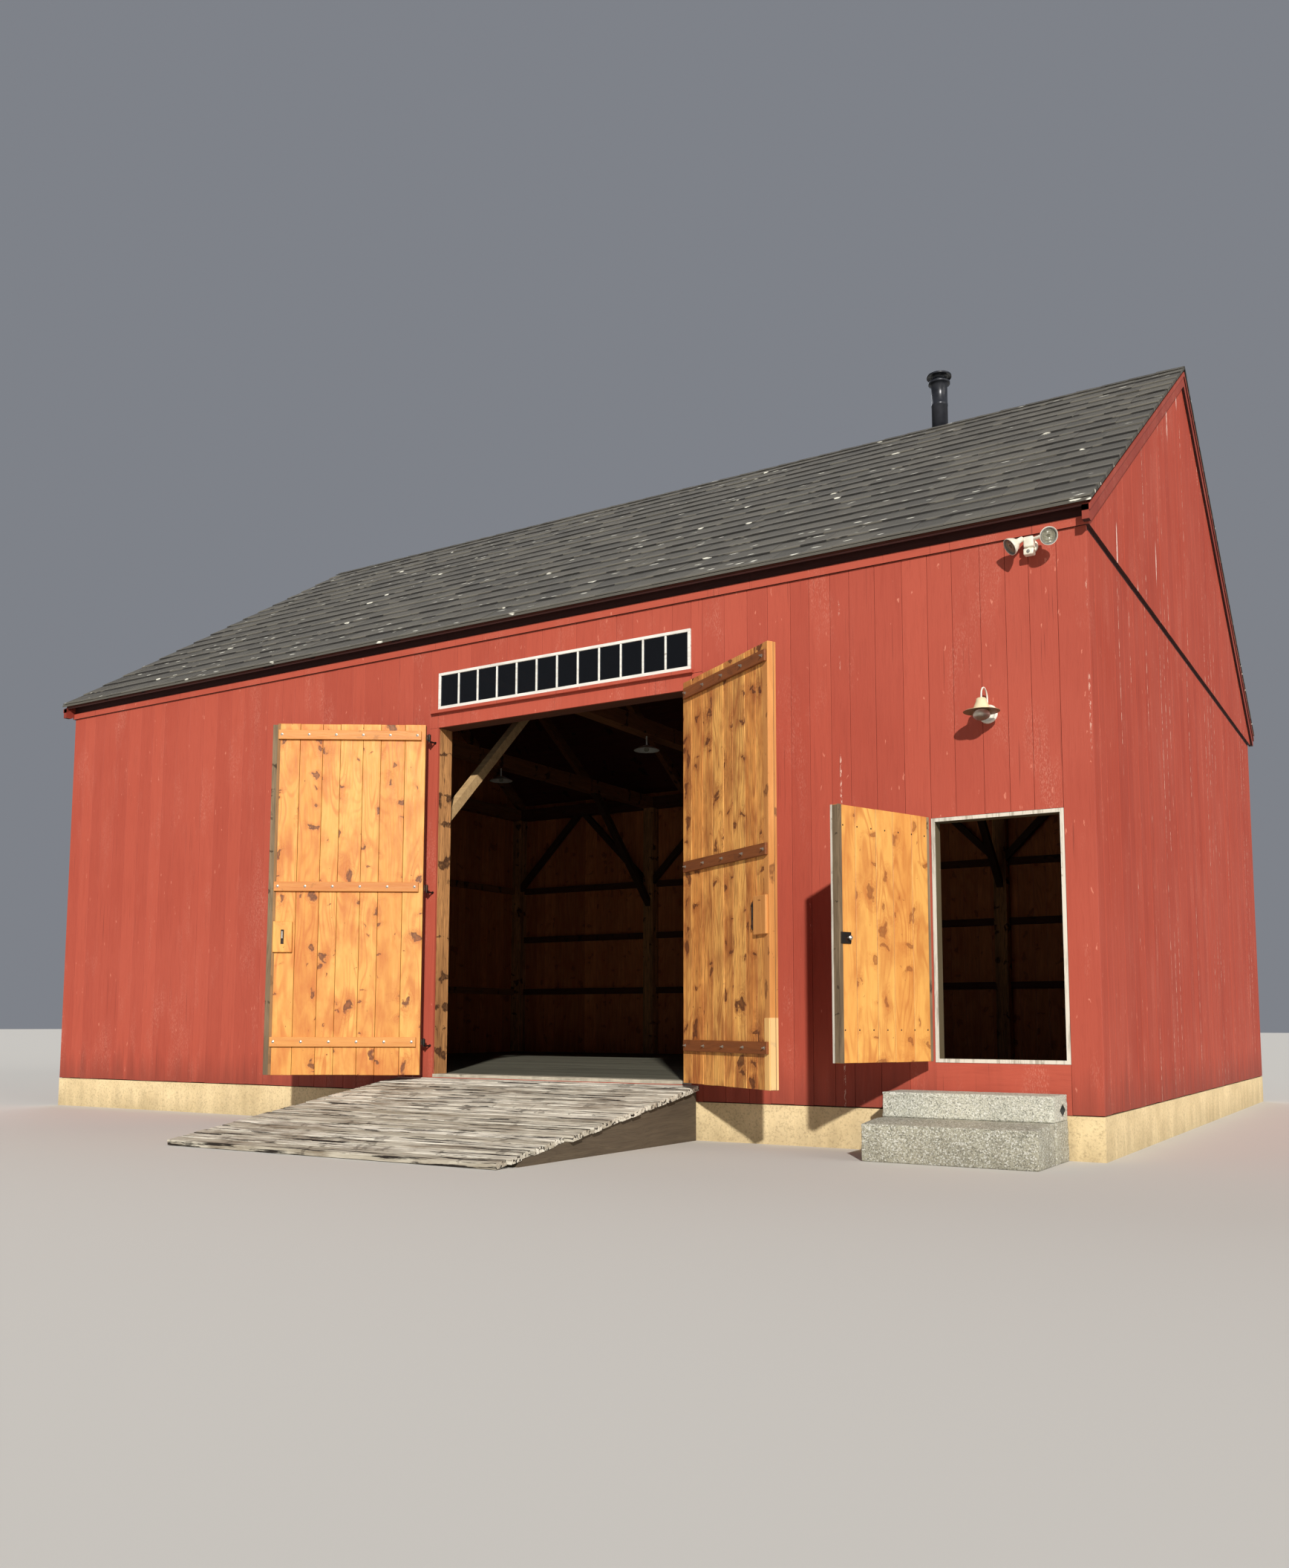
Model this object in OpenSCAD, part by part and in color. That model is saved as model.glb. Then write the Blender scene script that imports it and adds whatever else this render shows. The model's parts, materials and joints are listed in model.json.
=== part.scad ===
// Timber-framed barn with a gable roof, a pair of plank doors over a ramp, a transom light
// and a side door over two granite steps.
// X runs along the front, Y into the barn and Z up. Z = 0 is the lowest ground under the ramp foot.

/* [Body] */
// Length along the front
barn_l = 13040; // [12600:10:15000]
// Depth from front to rear
barn_w = 9690; // [8600:10:11000]
// Height of the lower ends of the wall boards above the lowest ground
board_z = 350; // [250:10:600]
// Height of the walls from the board ends to the underside of the frieze
wall_h = 4700; // [4600:10:5400]
// Thickness of the wall boards
board_t = 25; // [18:1:40]
// Gap between the board ends and the foundation
board_gap = 5; // [3:1:15]
// Thickness of the foundation wall
foundation_t = 300; // [280:10:450]

/* [Frame] */
// Width of posts, sills, plates and tie beams
timber = 200; // [170:5:240]
// Height of the sill beams
sill_h = 155; // [120:5:200]
// Left faces of the inner bays' posts at the left of the doors
bay_x = 3000; // [2600:10:3200]
// Width of the braces
brace_w = 100; // [80:5:140]
// Reach of the braces of the rear wall
rear_brace = 1380; // [900:10:1390]
// Reach of the braces of the tie beams
cross_brace = 1790; // [900:10:1900]
// Width of the girts
girt_h = 110; // [80:5:160]
// Thickness of the girts
girt_t = 75; // [50:5:120]
// Height of the low girts' middle above the board ends
low_girt = 1310; // [1000:10:1500]
// Height of the middle girts' middle above the board ends
mid_girt = 2300; // [1900:10:2600]
// Height of the high girts' middle above the board ends
high_girt = 3235; // [3000:5:3400]
// Number of rafter pairs
rafter_n = 8; // [5:1:8]
// Width of a rafter
rafter_w = 100; // [70:5:140]
// Depth of a rafter, square to the slope
rafter_d = 150; // [120:5:180]
// Distance of the end rafters from the gable boards
rafter_end = 50; // [20:5:120]
// Distance of the rafters' seat from the wall boards' outer face
seat_y = 110; // [90:5:150]
// Height of the floor above the board ends
floor_rise = 182; // [170:1:240]
// Thickness of the floor planks
floor_t = 40; // [25:1:60]
// Number of floor joists
joist_n = 12; // [6:1:16]
// Width of a floor joist
joist_w = 75; // [50:5:120]

/* [Roof] */
// Rise of the roof for each unit of run
pitch = 0.662; // [0.5:0.002:0.8]
// How far the roof runs out past the front and rear walls
eave_out = 150; // [130:5:260]
// How far the roof runs out past the gable boards
rake_out = 75; // [70:1:120]
// Height of the roof's surface above the frieze, at its lower edge
eave_rise = 170; // [150:1:220]
// Thickness of the shingles
shingle_t = 20; // [12:1:30]
// Thickness of the roof boards
roof_board_t = 25; // [18:1:30]
// How far the roof boards stay behind the lower edge of the shingles
board_back = 30; // [10:1:40]
// Gap between two layers of the roof
layer_gap = 0.2; // [0.1:0.05:1]
// Gap between the two slopes of boards at the ridge
ridge_gap = 4; // [3:1:10]
// Width of each leg of the ridge cap
cap_leg = 160; // [120:5:220]
// Thickness of the ridge cap
cap_t = 12; // [8:1:20]

/* [Trim] */
// How far the upper boards of a gable stand out past the lower ones
gable_step = 27; // [20:1:35]
// How far the upper boards lap over the lower ones
gable_lap = 40; // [20:1:80]
// Thickness of the rake boards
rake_t = 22; // [18:1:26]
// Width of the rake boards
rake_w = 140; // [110:5:200]
// How far the rake boards' lower ends stay behind the edge of the shingles
rake_back = 10; // [5:1:30]
// Thickness of the moulding on the rake boards
rake_mould_t = 18; // [12:1:20]
// Width of the moulding on the rake boards
rake_mould_w = 60; // [40:1:90]
// Thickness of the frieze
frieze_t = 22; // [16:1:30]
// Height of the frieze
frieze_h = 75; // [50:1:110]
// Thickness of the board between the frieze and the soffit
bed_t = 8; // [5:1:12]
// Thickness of the soffit under the eaves
soffit_t = 15; // [12:1:25]

/* [Double doors] */
// Distance of the doorway from the right end
door_inset = 3655; // [3600:5:4200]
// Width of the doorway
door_w = 3100; // [2900:5:3200]
// Width of the casing boards
casing_w = 120; // [90:5:150]
// Gap between the casing boards and the header board
casing_gap = 2; // [1:1:4]
// Height of the header board
header_h = 150; // [120:5:200]
// Thickness of the door sill
door_sill_t = 32; // [25:1:45]
// Thickness of the leaves' outer boards
leaf_skin_t = 25; // [18:1:32]
// Thickness of the leaves' inner boards with their frame
leaf_core_t = 55; // [45:1:70]
// Thickness of the battens
batten_t = 28; // [20:1:35]
// Height of the battens
batten_h = 100; // [80:5:130]
// Height of the low battens above the lower edge of a leaf
low_batten = 290; // [200:10:400]
// Distance of the top battens from the upper edge of a leaf
batten_drop = 70; // [40:5:120]
// Distance of the battens from the free edge of a leaf
batten_edge = 10; // [5:1:30]
// Distance of the battens from the doorway's side when a leaf is shut
batten_gap = 25; // [15:1:40]
// Width of the lock block
lock_w = 200; // [150:5:240]
// Height of the lock block
lock_h = 320; // [250:5:400]
// Height of the lock block above the lower edge of a leaf
lock_z = 1260; // [1100:10:1400]
// Distance of the lock block from the free edge of a leaf
lock_edge = 15; // [5:1:30]
// Distance of the left leaf's hinge axis from the doorway
left_axis_out = 40; // [35:1:50]
// Distance of the right leaf's hinge axis from the doorway
right_axis_out = 45; // [35:1:50]
// Gap between the closed leaves
leaf_gap = 10; // [8:1:15]
// How far the left leaf's outer boards run past its inner boards
leaf_lap = 65; // [40:1:80]
// How far the leaves' meeting edges stand right of the middle
leaf_shift = 20; // [0:5:40]
// Height of the left leaf's lower edge above the board ends
leaf_z = 172; // [165:1:180]
// Gap between the left leaf and the header board above it
leaf_top_gap = 4; // [2:1:10]
// How far the right leaf laps over the header board
leaf_top_lap = 16; // [5:1:30]
// Angle at which the left leaf stands open
left_open = 146.5; // [100:0.5:160]
// Angle at which the right leaf stands open
right_open = 147.5; // [100:0.5:160]

/* [Hinges] */
// Distance of the hinge axes from the wall
axis_y = 100; // [98:1:115]
// Thickness of the straps
strap_t = 8; // [6:1:10]
// Height of the straps
strap_h = 60; // [45:1:70]
// Length of the straps of the double doors
strap_l = 900; // [500:10:1000]
// Length of the straps of the side door
side_strap_l = 700; // [400:10:900]
// Height of the low straps' middle above the lower edge of a leaf
low_strap = 340; // [200:10:500]
// Distance of the top straps' middle from the left leaf's upper edge
strap_drop = 120; // [100:5:300]
// Height of the side door's low strap above the door's lower edge
side_low_strap = 230; // [150:10:400]
// Distance of the side door's top strap from the door's upper edge
side_strap_drop = 309; // [150:1:400]
// Diameter of the pintles
pin_d = 18; // [14:1:22]
// Radial gap between a pintle and its eye
pin_gap = 0.5; // [0.3:0.1:1]
// Wall of the eye round the pintle
eye_wall = 8; // [6:1:10]
// Distance from the hinge axis to the edge of a leaf
edge_gap = 24; // [22:1:28]

/* [Side door] */
// Distance of the side doorway in the boards from the right end
side_inset = 245; // [240:5:400]
// Width of the side doorway in the boards
side_w = 1090; // [950:5:1100]
// Height of the foot of the side doorway above the board ends
side_z = 393; // [300:1:450]
// Height of the side doorway in the boards
side_h = 2029; // [1900:1:2200]
// Width of the white frame
frame_w = 30; // [22:1:45]
// How far the white frame stands out from the boards
frame_out = 6; // [3:1:8]
// How deep the white frame reaches behind the boards' outer face
frame_depth = 125; // [60:1:180]
// Distance of the side door's hinge axis from the doorway
side_axis_out = 40; // [35:1:45]
// How far the shut side door stays short of the right side of the doorway
side_short = 12; // [5:1:20]
// Gap over and under the shut side door
side_door_gap = 10; // [5:1:15]
// Height of the rim latch above the side door's lower edge
side_latch = 965; // [850:5:1100]
// Angle at which the side door stands open
side_open = 110; // [80:0.5:120]

/* [Transom] */
// Distance of the transom's top from the frieze
transom_drop = 266; // [200:1:400]
// Height of the transom
transom_h = 403; // [300:1:420]
// Number of panes in the transom
pane_n = 12; // [6:1:16]
// Width of the transom's stiles
stile_w = 60; // [40:1:80]
// Width of the transom's glazing bars
bar_w = 33; // [22:1:40]
// Width of the transom's top rail
top_rail_w = 45; // [30:1:60]
// Width of the transom's bottom rail
low_rail_w = 70; // [50:1:90]
// How far the transom stands out from the boards
transom_out = 15; // [8:1:25]
// Thickness of the glass
glass_t = 4; // [3:1:6]
// Height of the drip ledge over the header board
ledge_h = 35; // [25:1:35]
// How far the drip ledge stands out
ledge_out = 45; // [30:1:60]
// How far the drip ledge runs past the left side of the doorway
ledge_left = 80; // [20:5:110]
// How far the drip ledge runs past the right side of the doorway
ledge_right = 30; // [20:5:110]
// Depth of the rebate that takes the glass
rebate = 8; // [6:1:12]

/* [Ramp and steps] */
// How far the ramp runs out past the left side of the doorway
ramp_left = 455; // [0:5:700]
// How far the ramp runs out past the right side of the doorway
ramp_right = 115; // [0:5:400]
// Length of the ramp over the ground
ramp_run = 2920; // [2400:10:3600]
// Gap between the ramp and the wall
ramp_gap = 30; // [20:1:60]
// Height of the ramp's upper end above the board ends
ramp_rise = 150; // [120:1:160]
// Thickness of the ramp's planks
ramp_t = 50; // [35:1:65]
// Number of stringers under the ramp
stringer_n = 5; // [3:1:7]
// Width of a stringer
stringer_w = 120; // [80:5:160]
// Distance of the outer stringers from the ramp's sides
stringer_inset = 50; // [20:5:120]
// Height of the stringers' outer ends
stringer_end = 40; // [20:5:80]
// How far the granite steps run out past the left side of the side doorway
step_out = 305; // [200:5:400]
// Length of the granite steps
step_l = 1370; // [1200:10:1500]
// Depth of the lower step
low_step_d = 880; // [800:10:1000]
// Depth of the upper step
up_step_d = 430; // [350:10:500]
// Height of the lower step's top below the board ends
low_step_drop = 35; // [10:1:80]
// Height of the upper step
up_step_h = 200; // [150:5:215]
// Gap between the steps and the foundation
step_gap = 20; // [10:1:40]

/* [Fittings] */
// Diameter of the stove pipe
pipe_d = 204; // [150:1:250]
// Distance of the stove pipe from the right end
pipe_inset = 2950; // [2600:10:3400]
// Distance of the stove pipe behind the ridge
pipe_back = 430; // [350:10:600]
// Height of the stove pipe's cap above the ridge
pipe_up = 930; // [500:10:1000]
// Height of the drum and cap over the pipe's end
pipe_cap_h = 150; // [120:5:200]
// Diameter of the pipe's cap
pipe_cap_d = 315; // [280:1:360]
// Wall of the stove pipe
pipe_wall = 3; // [2:0.5:6]
// Length of the stove pipe under the roof
pipe_low = 150; // [100:10:400]
// Gap between the roof and the stove pipe
pipe_gap = 1; // [1:1:10]
// Distance of the barn lamp from the left side of the side doorway
lamp_in = 505; // [300:5:700]
// Height of the barn lamp's wall plate above the side doorway
lamp_up = 848; // [600:1:1000]
// Diameter of the barn lamp's shade
shade_d = 296; // [240:2:340]
// Height of the shade's conical neck
neck_h = 96; // [70:2:120]
// Diameter of the neck's top
neck_d = 68; // [50:2:80]
// Reach of the barn lamp's gooseneck
lamp_out = 185; // [165:5:230]
// Thickness of the gooseneck
lamp_arm_d = 14; // [10:1:20]
// Diameter of the barn lamp's wall plate
lamp_plate_d = 210; // [150:5:240]
// Thickness of the barn lamp's wall plate
lamp_plate_t = 20; // [12:1:25]
// Diameter of the glass globe
globe_d = 140; // [100:2:160]
// Distance of the floodlight from the right end
flood_inset = 440; // [300:10:700]
// Distance of the floodlight from the frieze
flood_drop = 100; // [90:1:200]
// Diameter of the floodlight's heads
flood_d = 146; // [110:2:160]
// Distance of the floodlight's body from the wall
flood_body_out = 62; // [58:1:80]
// Diameter of a pendant lamp's shade
pendant_d = 350; // [300:5:400]
// Drop of the pendant lamps under the tie beams
pendant_drop = 200; // [120:10:400]
// Distance of the pendant lamp behind the doors from the front
near_pendant_y = 4400; // [3000:50:6000]
// Distance of the other pendant lamp from the front
far_pendant_y = 5150; // [3000:50:6500]

/* [Hidden] */

red = "firebrick";
pine = "sandybrown";
aged = "saddlebrown";
grey_wood = "darkgray";
iron = "dimgray";

foundation_z = board_z - board_gap;
sill_z = foundation_z + sill_h;
floor_z = board_z + floor_rise;
frieze_z = board_z + wall_h;
roof_cos = cos(atan(pitch));
mid_y = barn_w / 2;
eave_z = frieze_z + eave_rise;
ridge_z = eave_z + (mid_y + eave_out) * pitch;
transom_top = frieze_z - transom_drop;
transom_low = transom_top - transom_h;
header_top = transom_low - ledge_h;
door_top = header_top - header_h;
door_x2 = barn_l - door_inset;
door_x = door_x2 - door_w;
side_x2 = barn_l - side_inset;
side_x = side_x2 - side_w;
side_low = board_z + side_z;
side_top = side_low + side_h;
ramp_x = door_x - ramp_left;
ramp_w = ramp_left + door_w + ramp_right;
ramp_foot = ramp_gap + ramp_run;
step_x = side_x - step_out;
ramp_top = board_z + ramp_rise;
ramp_slope = (ramp_top - ramp_t) / ramp_run;
// Heights of the layers below the roof's surface, and the seat that the rafters are notched to
shingle_low = -shingle_t / roof_cos;
boards_top = shingle_low - layer_gap / roof_cos;
boards_low = boards_top - roof_board_t / roof_cos;
rafter_top = boards_low - layer_gap / roof_cos;
rafter_low = rafter_top - rafter_d / roof_cos;
plate_top = slope_z(seat_y) + rafter_low;
plate_z = plate_top - timber;
// The wall boards reach up to the underside of the roof boards
wall_top = slope_z(0) + rafter_top;
// The reference point is under the middle of the whole barn with its ramp
back_y = barn_w + eave_out;
centre_y = (back_y - ramp_foot) / 2;
post_xs = [board_t, bay_x, door_x - timber, door_x2, barn_l - board_t - timber];
gable_post_ys = [for (i = [1, 2]) board_t + i * (barn_w - 2 * board_t) / 3 - timber / 2];
leaf_t = strap_t / 2 + leaf_skin_t + leaf_core_t;
left_axis_x = door_x - left_axis_out;
right_axis_x = door_x2 + right_axis_out;
left_leaf_w = (right_axis_x - left_axis_x - leaf_gap - leaf_lap) / 2 + leaf_shift;
right_leaf_w = right_axis_x - left_axis_x - leaf_gap - leaf_lap - left_leaf_w;
side_axis_x = side_x - side_axis_out;
big_leaf_z = board_z + leaf_z;
left_leaf_h = door_top - leaf_top_gap - big_leaf_z;
right_leaf_h = door_top + leaf_top_lap - big_leaf_z;
side_leaf_z = side_low + side_door_gap;
side_leaf_h = side_h - 2 * side_door_gap;
side_leaf_w = side_x2 - side_short - side_axis_x;
eye_d = pin_d + 2 * pin_gap + 2 * eye_wall;
// Places of the pendant lamps under the second and third tie beams
pendant_spots = [[post_xs[2] + timber / 2, near_pendant_y], [post_xs[1] + timber / 2, far_pendant_y]];
top_strap = left_leaf_h - strap_drop;
strap_zs = [low_strap, (low_strap + top_strap) / 2, top_strap];
side_strap_zs = [side_low_strap, side_leaf_h - side_strap_drop];
pipe_x = barn_l - pipe_inset;
pipe_y = mid_y + pipe_back;

// Height of the roof's surface at a distance from the front wall
function slope_z(y) = eave_z + (min(y, barn_w - y) + eave_out) * pitch;

// Moves a piece from the front left corner to the reference point
module placed() {
    translate([-barn_l / 2, -centre_y, 0]) children();
}

// A box between two corners
module block(low, high) {
    translate(low) cube(high - low);
}

// A Y-Z outline swept along X
module along_x(x1, x2, points) {
    translate([x1, 0, 0]) rotate([90, 0, 90]) linear_extrude(x2 - x1) polygon(points);
}

// A layer of the front slope between two depths below the roof's surface
module slope_layer(x1, x2, top, low, y1, y2) {
    along_x(x1, x2, [[y1, slope_z(y1) + low], [y2, slope_z(y2) + low],
        [y2, slope_z(y2) + top], [y1, slope_z(y1) + top]]);
}

// The same piece on the rear slope or rear wall
module mirrored_y() {
    translate([0, barn_w, 0]) mirror([0, 1, 0]) children();
}

module both_sides() {
    children();
    mirrored_y() children();
}

module foundation() color("tan") placed()
    difference() {
        block([0, 0, 0], [barn_l, barn_w, foundation_z]);
        block([foundation_t, foundation_t, -1],
            [barn_l - foundation_t, barn_w - foundation_t, foundation_z + 1]);
    }

module sill_beams() color(aged) placed()
    difference() {
        block([board_t, board_t, foundation_z], [barn_l - board_t, barn_w - board_t, sill_z]);
        block([board_t + timber, board_t + timber, foundation_z - 1],
            [barn_l - board_t - timber, barn_w - board_t - timber, sill_z + 1]);
    }

module floor_joists() color(aged) placed() {
    step = (barn_l - 2 * (board_t + timber) - joist_w) / (joist_n - 1);
    for (i = [0 : joist_n - 1])
        translate([board_t + timber + i * step, board_t + timber, foundation_z])
            cube([joist_w, barn_w - 2 * (board_t + timber), floor_z - floor_t - foundation_z]);
}

module floor_deck() color("gray") placed()
    block([board_t + timber, board_t + timber, floor_z - floor_t],
        [barn_l - board_t - timber, barn_w - board_t - timber, floor_z]);

module posts() color(aged) placed() {
    for (x = post_xs) both_sides()
        block([x, board_t, sill_z], [x + timber, board_t + timber, plate_z]);
    for (x = [post_xs[0], post_xs[4]], y = gable_post_ys)
        block([x, y, sill_z], [x + timber, y + timber, plate_z]);
}

module wall_plates() color(aged) placed()
    both_sides() block([board_t, board_t, plate_z], [barn_l - board_t, board_t + timber, plate_top]);

module tie_beams() color(aged) placed()
    for (x = post_xs)
        block([x, board_t + timber, plate_z], [x + timber, barn_w - board_t - timber, plate_top]);

// A brace across the corner of a post and a beam, in the X-Z plane
module brace(reach, width) {
    rotate([90, 0, 0]) linear_extrude(width, center = true)
        polygon([[0, -reach], [0, -reach + brace_w * sqrt(2)], [reach - brace_w * sqrt(2), 0], [reach, 0]]);
}

module knee_braces() color(aged) placed() {
    // Braces of the rear wall, two to a bay
    for (i = [0 : 3]) {
        y = barn_w - board_t - timber + brace_w / 2;
        translate([post_xs[i] + timber, y, plate_z]) brace(min(rear_brace, half_bay(i)), brace_w);
        translate([post_xs[i + 1], y, plate_z]) mirror([1, 0, 0])
            brace(min(rear_brace, half_bay(i)), brace_w);
    }
    // Braces of the tie beams over the inner posts
    for (i = [1 : 3]) both_sides()
        translate([post_xs[i] + timber / 2, board_t + timber, plate_z])
            rotate([0, 0, 90]) brace(cross_brace, brace_w);
}

// Half of the clear width of a bay, less a gap between its two braces
function half_bay(i) = (post_xs[i + 1] - post_xs[i] - timber) / 2 - 5;

module wall_girts() color(aged) placed() {
    // Three rows along the rear wall
    for (i = [0 : 3], z = [low_girt, mid_girt, high_girt])
        block([post_xs[i] + timber, barn_w - board_t - girt_t, board_z + z - girt_h / 2],
            [post_xs[i + 1], barn_w - board_t, board_z + z + girt_h / 2]);
    // The header beam between the door posts
    block([door_x, board_t, door_top], [door_x2, board_t + timber, door_top + header_h]);
    // Two rows along the front wall at the left of the doors
    for (i = [0, 1], z = [low_girt, high_girt])
        block([post_xs[i] + timber, board_t, board_z + z - girt_h / 2],
            [post_xs[i + 1], board_t + girt_t, board_z + z + girt_h / 2]);
}

module gable_girts() color(aged) placed() {
    ys = [board_t, gable_post_ys[0], gable_post_ys[1], barn_w - board_t - timber];
    for (x = [board_t, barn_l - board_t - girt_t], i = [0 : 2], z = [low_girt, high_girt])
        block([x, ys[i] + timber, board_z + z - girt_h / 2],
            [x + girt_t, ys[i + 1], board_z + z + girt_h / 2]);
}

module side_door_studs() color(aged) placed() {
    post_x = post_xs[4];
    difference() {
        block([side_x - brace_w, board_t, sill_z], [post_x, board_t + brace_w, side_top + brace_w]);
        block([side_x, board_t - 1, side_low], [side_x2, board_t + brace_w + 1, side_top]);
    }
}

module rafters() color(aged) placed() {
    step = (barn_l - 2 * board_t - rafter_w - 2 * rafter_end) / (rafter_n - 1);
    for (i = [0 : rafter_n - 1]) both_sides() {
        x = board_t + rafter_end + i * step;
        difference() {
            slope_layer(x, x + rafter_w, rafter_top, rafter_low, board_t, mid_y - ridge_gap / 2);
            block([x - 1, board_t - 1, plate_z], [x + rafter_w + 1, board_t + timber, plate_top]);
        }
    }
}

module roof_boards() color(aged) placed()
    difference() {
        both_sides()
            slope_layer(-gable_step, barn_l + gable_step, boards_top, boards_low,
                -eave_out + board_back, mid_y - ridge_gap / 2);
        pipe_hole();
    }

module pipe_hole() {
    translate([pipe_x, pipe_y, frieze_z]) cylinder(d = pipe_d + 2 * pipe_gap, h = ridge_z, $fn = 48);
}

module roof_slope()
    slope_layer(-rake_out, barn_l + rake_out, 0, shingle_low, -eave_out, mid_y);

module front_roof() color("dimgray") placed() roof_slope();

module rear_roof() color("dimgray") placed()
    difference() {
        mirrored_y() roof_slope();
        pipe_hole();
    }

module ridge_cap() color("dimgray") placed() {
    leg_y = cap_leg * roof_cos;
    low = layer_gap / roof_cos;
    top = low + cap_t / roof_cos;
    foot_z = slope_z(mid_y - leg_y);
    along_x(-rake_out, barn_l + rake_out, [
        [mid_y - leg_y, foot_z + low], [mid_y, ridge_z + low], [mid_y + leg_y, foot_z + low],
        [mid_y + leg_y, foot_z + top], [mid_y, ridge_z + top], [mid_y - leg_y, foot_z + top]]);
}

module front_wall_left() color(red) placed()
    block([0, 0, board_z], [door_x - casing_w, board_t, wall_top]);

module front_wall_over_doors() color(red) placed()
    difference() {
        block([door_x - casing_w, 0, header_top], [door_x2 + casing_w, board_t, wall_top]);
        block([door_x, -1, transom_low], [door_x2, board_t + 1, transom_top]);
    }

module front_wall_middle() color(red) placed()
    block([door_x2 + casing_w, 0, board_z], [side_x, board_t, wall_top]);

module front_wall_over_side_door() color(red) placed()
    block([side_x, 0, side_top], [side_x2, board_t, wall_top]);

module front_wall_under_doors() color(red) placed() {
    block([door_x, 0, board_z], [door_x2, board_t, floor_z - door_sill_t]);
    block([side_x, 0, board_z], [side_x2, board_t, side_low]);
}

module front_wall_right() color(red) placed()
    block([side_x2, 0, board_z], [barn_l, board_t, wall_top]);

module rear_wall() color(red) placed()
    block([0, barn_w - board_t, board_z], [barn_l, barn_w, wall_top]);

module gable_wall()
    block([0, board_t, board_z], [board_t, barn_w - board_t, frieze_z + gable_lap]);

// The boards of a gable over the eaves, which lap over the lower boards
module gable_top() {
    shelf = frieze_z + gable_lap;
    points = [[0, shelf], [barn_w, shelf], [barn_w, slope_z(0) + rafter_top],
        [mid_y, slope_z(mid_y) + rafter_top], [0, slope_z(0) + rafter_top]];
    difference() {
        along_x(-gable_step, board_t, points);
        // The front and rear boards reach up between the corners
        for (y = [-1, barn_w - board_t])
            block([0, y, frieze_z - 1], [board_t + 1, y + board_t + 1, ridge_z]);
    }
    block([-gable_step, 0, frieze_z], [0, barn_w, shelf]);
}

module at_right() {
    translate([barn_l, 0, 0]) mirror([1, 0, 0]) children();
}

module left_gable_wall() color(red) placed() gable_wall();
module right_gable_wall() color(red) placed() at_right() gable_wall();
module left_gable_top() color(red) placed() gable_top();
module right_gable_top() color(red) placed() at_right() gable_top();

module cornice() {
    edge = -eave_out + board_back;
    under = rafter_top - soffit_t;
    // Frieze, the board above it and the soffit under the roof boards in one profile
    along_x(-gable_step, barn_l + gable_step, [
        [0, frieze_z], [-frieze_t, frieze_z], [-frieze_t, frieze_z + frieze_h],
        [-bed_t, frieze_z + frieze_h], [-bed_t, slope_z(-bed_t) + under], [edge, slope_z(edge) + under],
        [edge, slope_z(edge) + rafter_top], [0, slope_z(0) + rafter_top]]);
}

module front_cornice() color(red) placed() cornice();
module rear_cornice() color(red) placed() mirrored_y() cornice();

// The rake boards cover the ends of the roof boards and are cut level with the frieze
module rake_boards() color(red) placed() {
    x = -gable_step;
    top = boards_top;
    for (side = [0, 1]) both_sides() translate([side * barn_l, 0, 0]) mirror([side, 0, 0])
        difference() {
            union() {
                slope_layer(x - rake_t, x, top, top - rake_w / roof_cos, -eave_out + rake_back,
                    mid_y - ridge_gap / 2);
                slope_layer(x - rake_t - rake_mould_t, x - rake_t, top, top - rake_mould_w / roof_cos,
                    -eave_out + rake_back, mid_y - ridge_gap / 2);
            }
            block([x - rake_out, -eave_out, board_z], [x + 1, 0, frieze_z]);
        }
}

module door_casings() color(red) placed() {
    for (x = [door_x - casing_w, door_x2])
        block([x, 0, board_z], [x + casing_w, board_t, door_top - casing_gap]);
    block([door_x - casing_w, 0, door_top], [door_x2 + casing_w, board_t, header_top]);
}

module door_sill() color(grey_wood) placed()
    block([door_x, 0, floor_z - door_sill_t], [door_x2, board_t + timber, floor_z]);

module transom_frame() color("white") placed() {
    pitch_x = (door_w - 2 * stile_w + bar_w) / pane_n;
    difference() {
        block([door_x, -transom_out, transom_low], [door_x2, board_t, transom_top]);
        for (i = [0 : pane_n - 1])
            translate([door_x + stile_w + i * pitch_x, -transom_out - 1, transom_low + low_rail_w])
                cube([pitch_x - bar_w, transom_out + board_t + 2, transom_h - low_rail_w - top_rail_w]);
        translate([door_x + stile_w, board_t - rebate, transom_low + low_rail_w])
            cube([door_w - 2 * stile_w, rebate + 1, transom_h - low_rail_w - top_rail_w]);
    }
    // The drip ledge under the transom
    block([door_x - ledge_left, -ledge_out, transom_low - ledge_h], [door_x2 + ledge_right, 0, transom_low]);
}

module transom_glass() color("slategray") placed()
    block([door_x + stile_w, board_t - rebate, transom_low + low_rail_w],
        [door_x2 - stile_w, board_t - rebate + glass_t, transom_top - top_rail_w]);

module side_door_frame() color("white") placed()
    difference() {
        block([side_x, -frame_out, side_low], [side_x2, frame_depth, side_top]);
        block([side_x + frame_w, -frame_out - 1, side_low + frame_w],
            [side_x2 - frame_w, frame_depth + 1, side_top - frame_w]);
    }

// One pintle: a shank out of the wall with a pin that stands up through the eye
module pintle(height) {
    shank_r = pin_d / 2;
    rotate([90, 0, 0]) cylinder(r = shank_r, h = axis_y, $fn = 16);
    translate([0, -axis_y, -shank_r]) cylinder(d = pin_d, h = shank_r * 2 + height + 8, $fn = 16);
    rotate([90, 0, 0]) cylinder(r = shank_r + 6, h = 4, $fn = 16);
}

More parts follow.
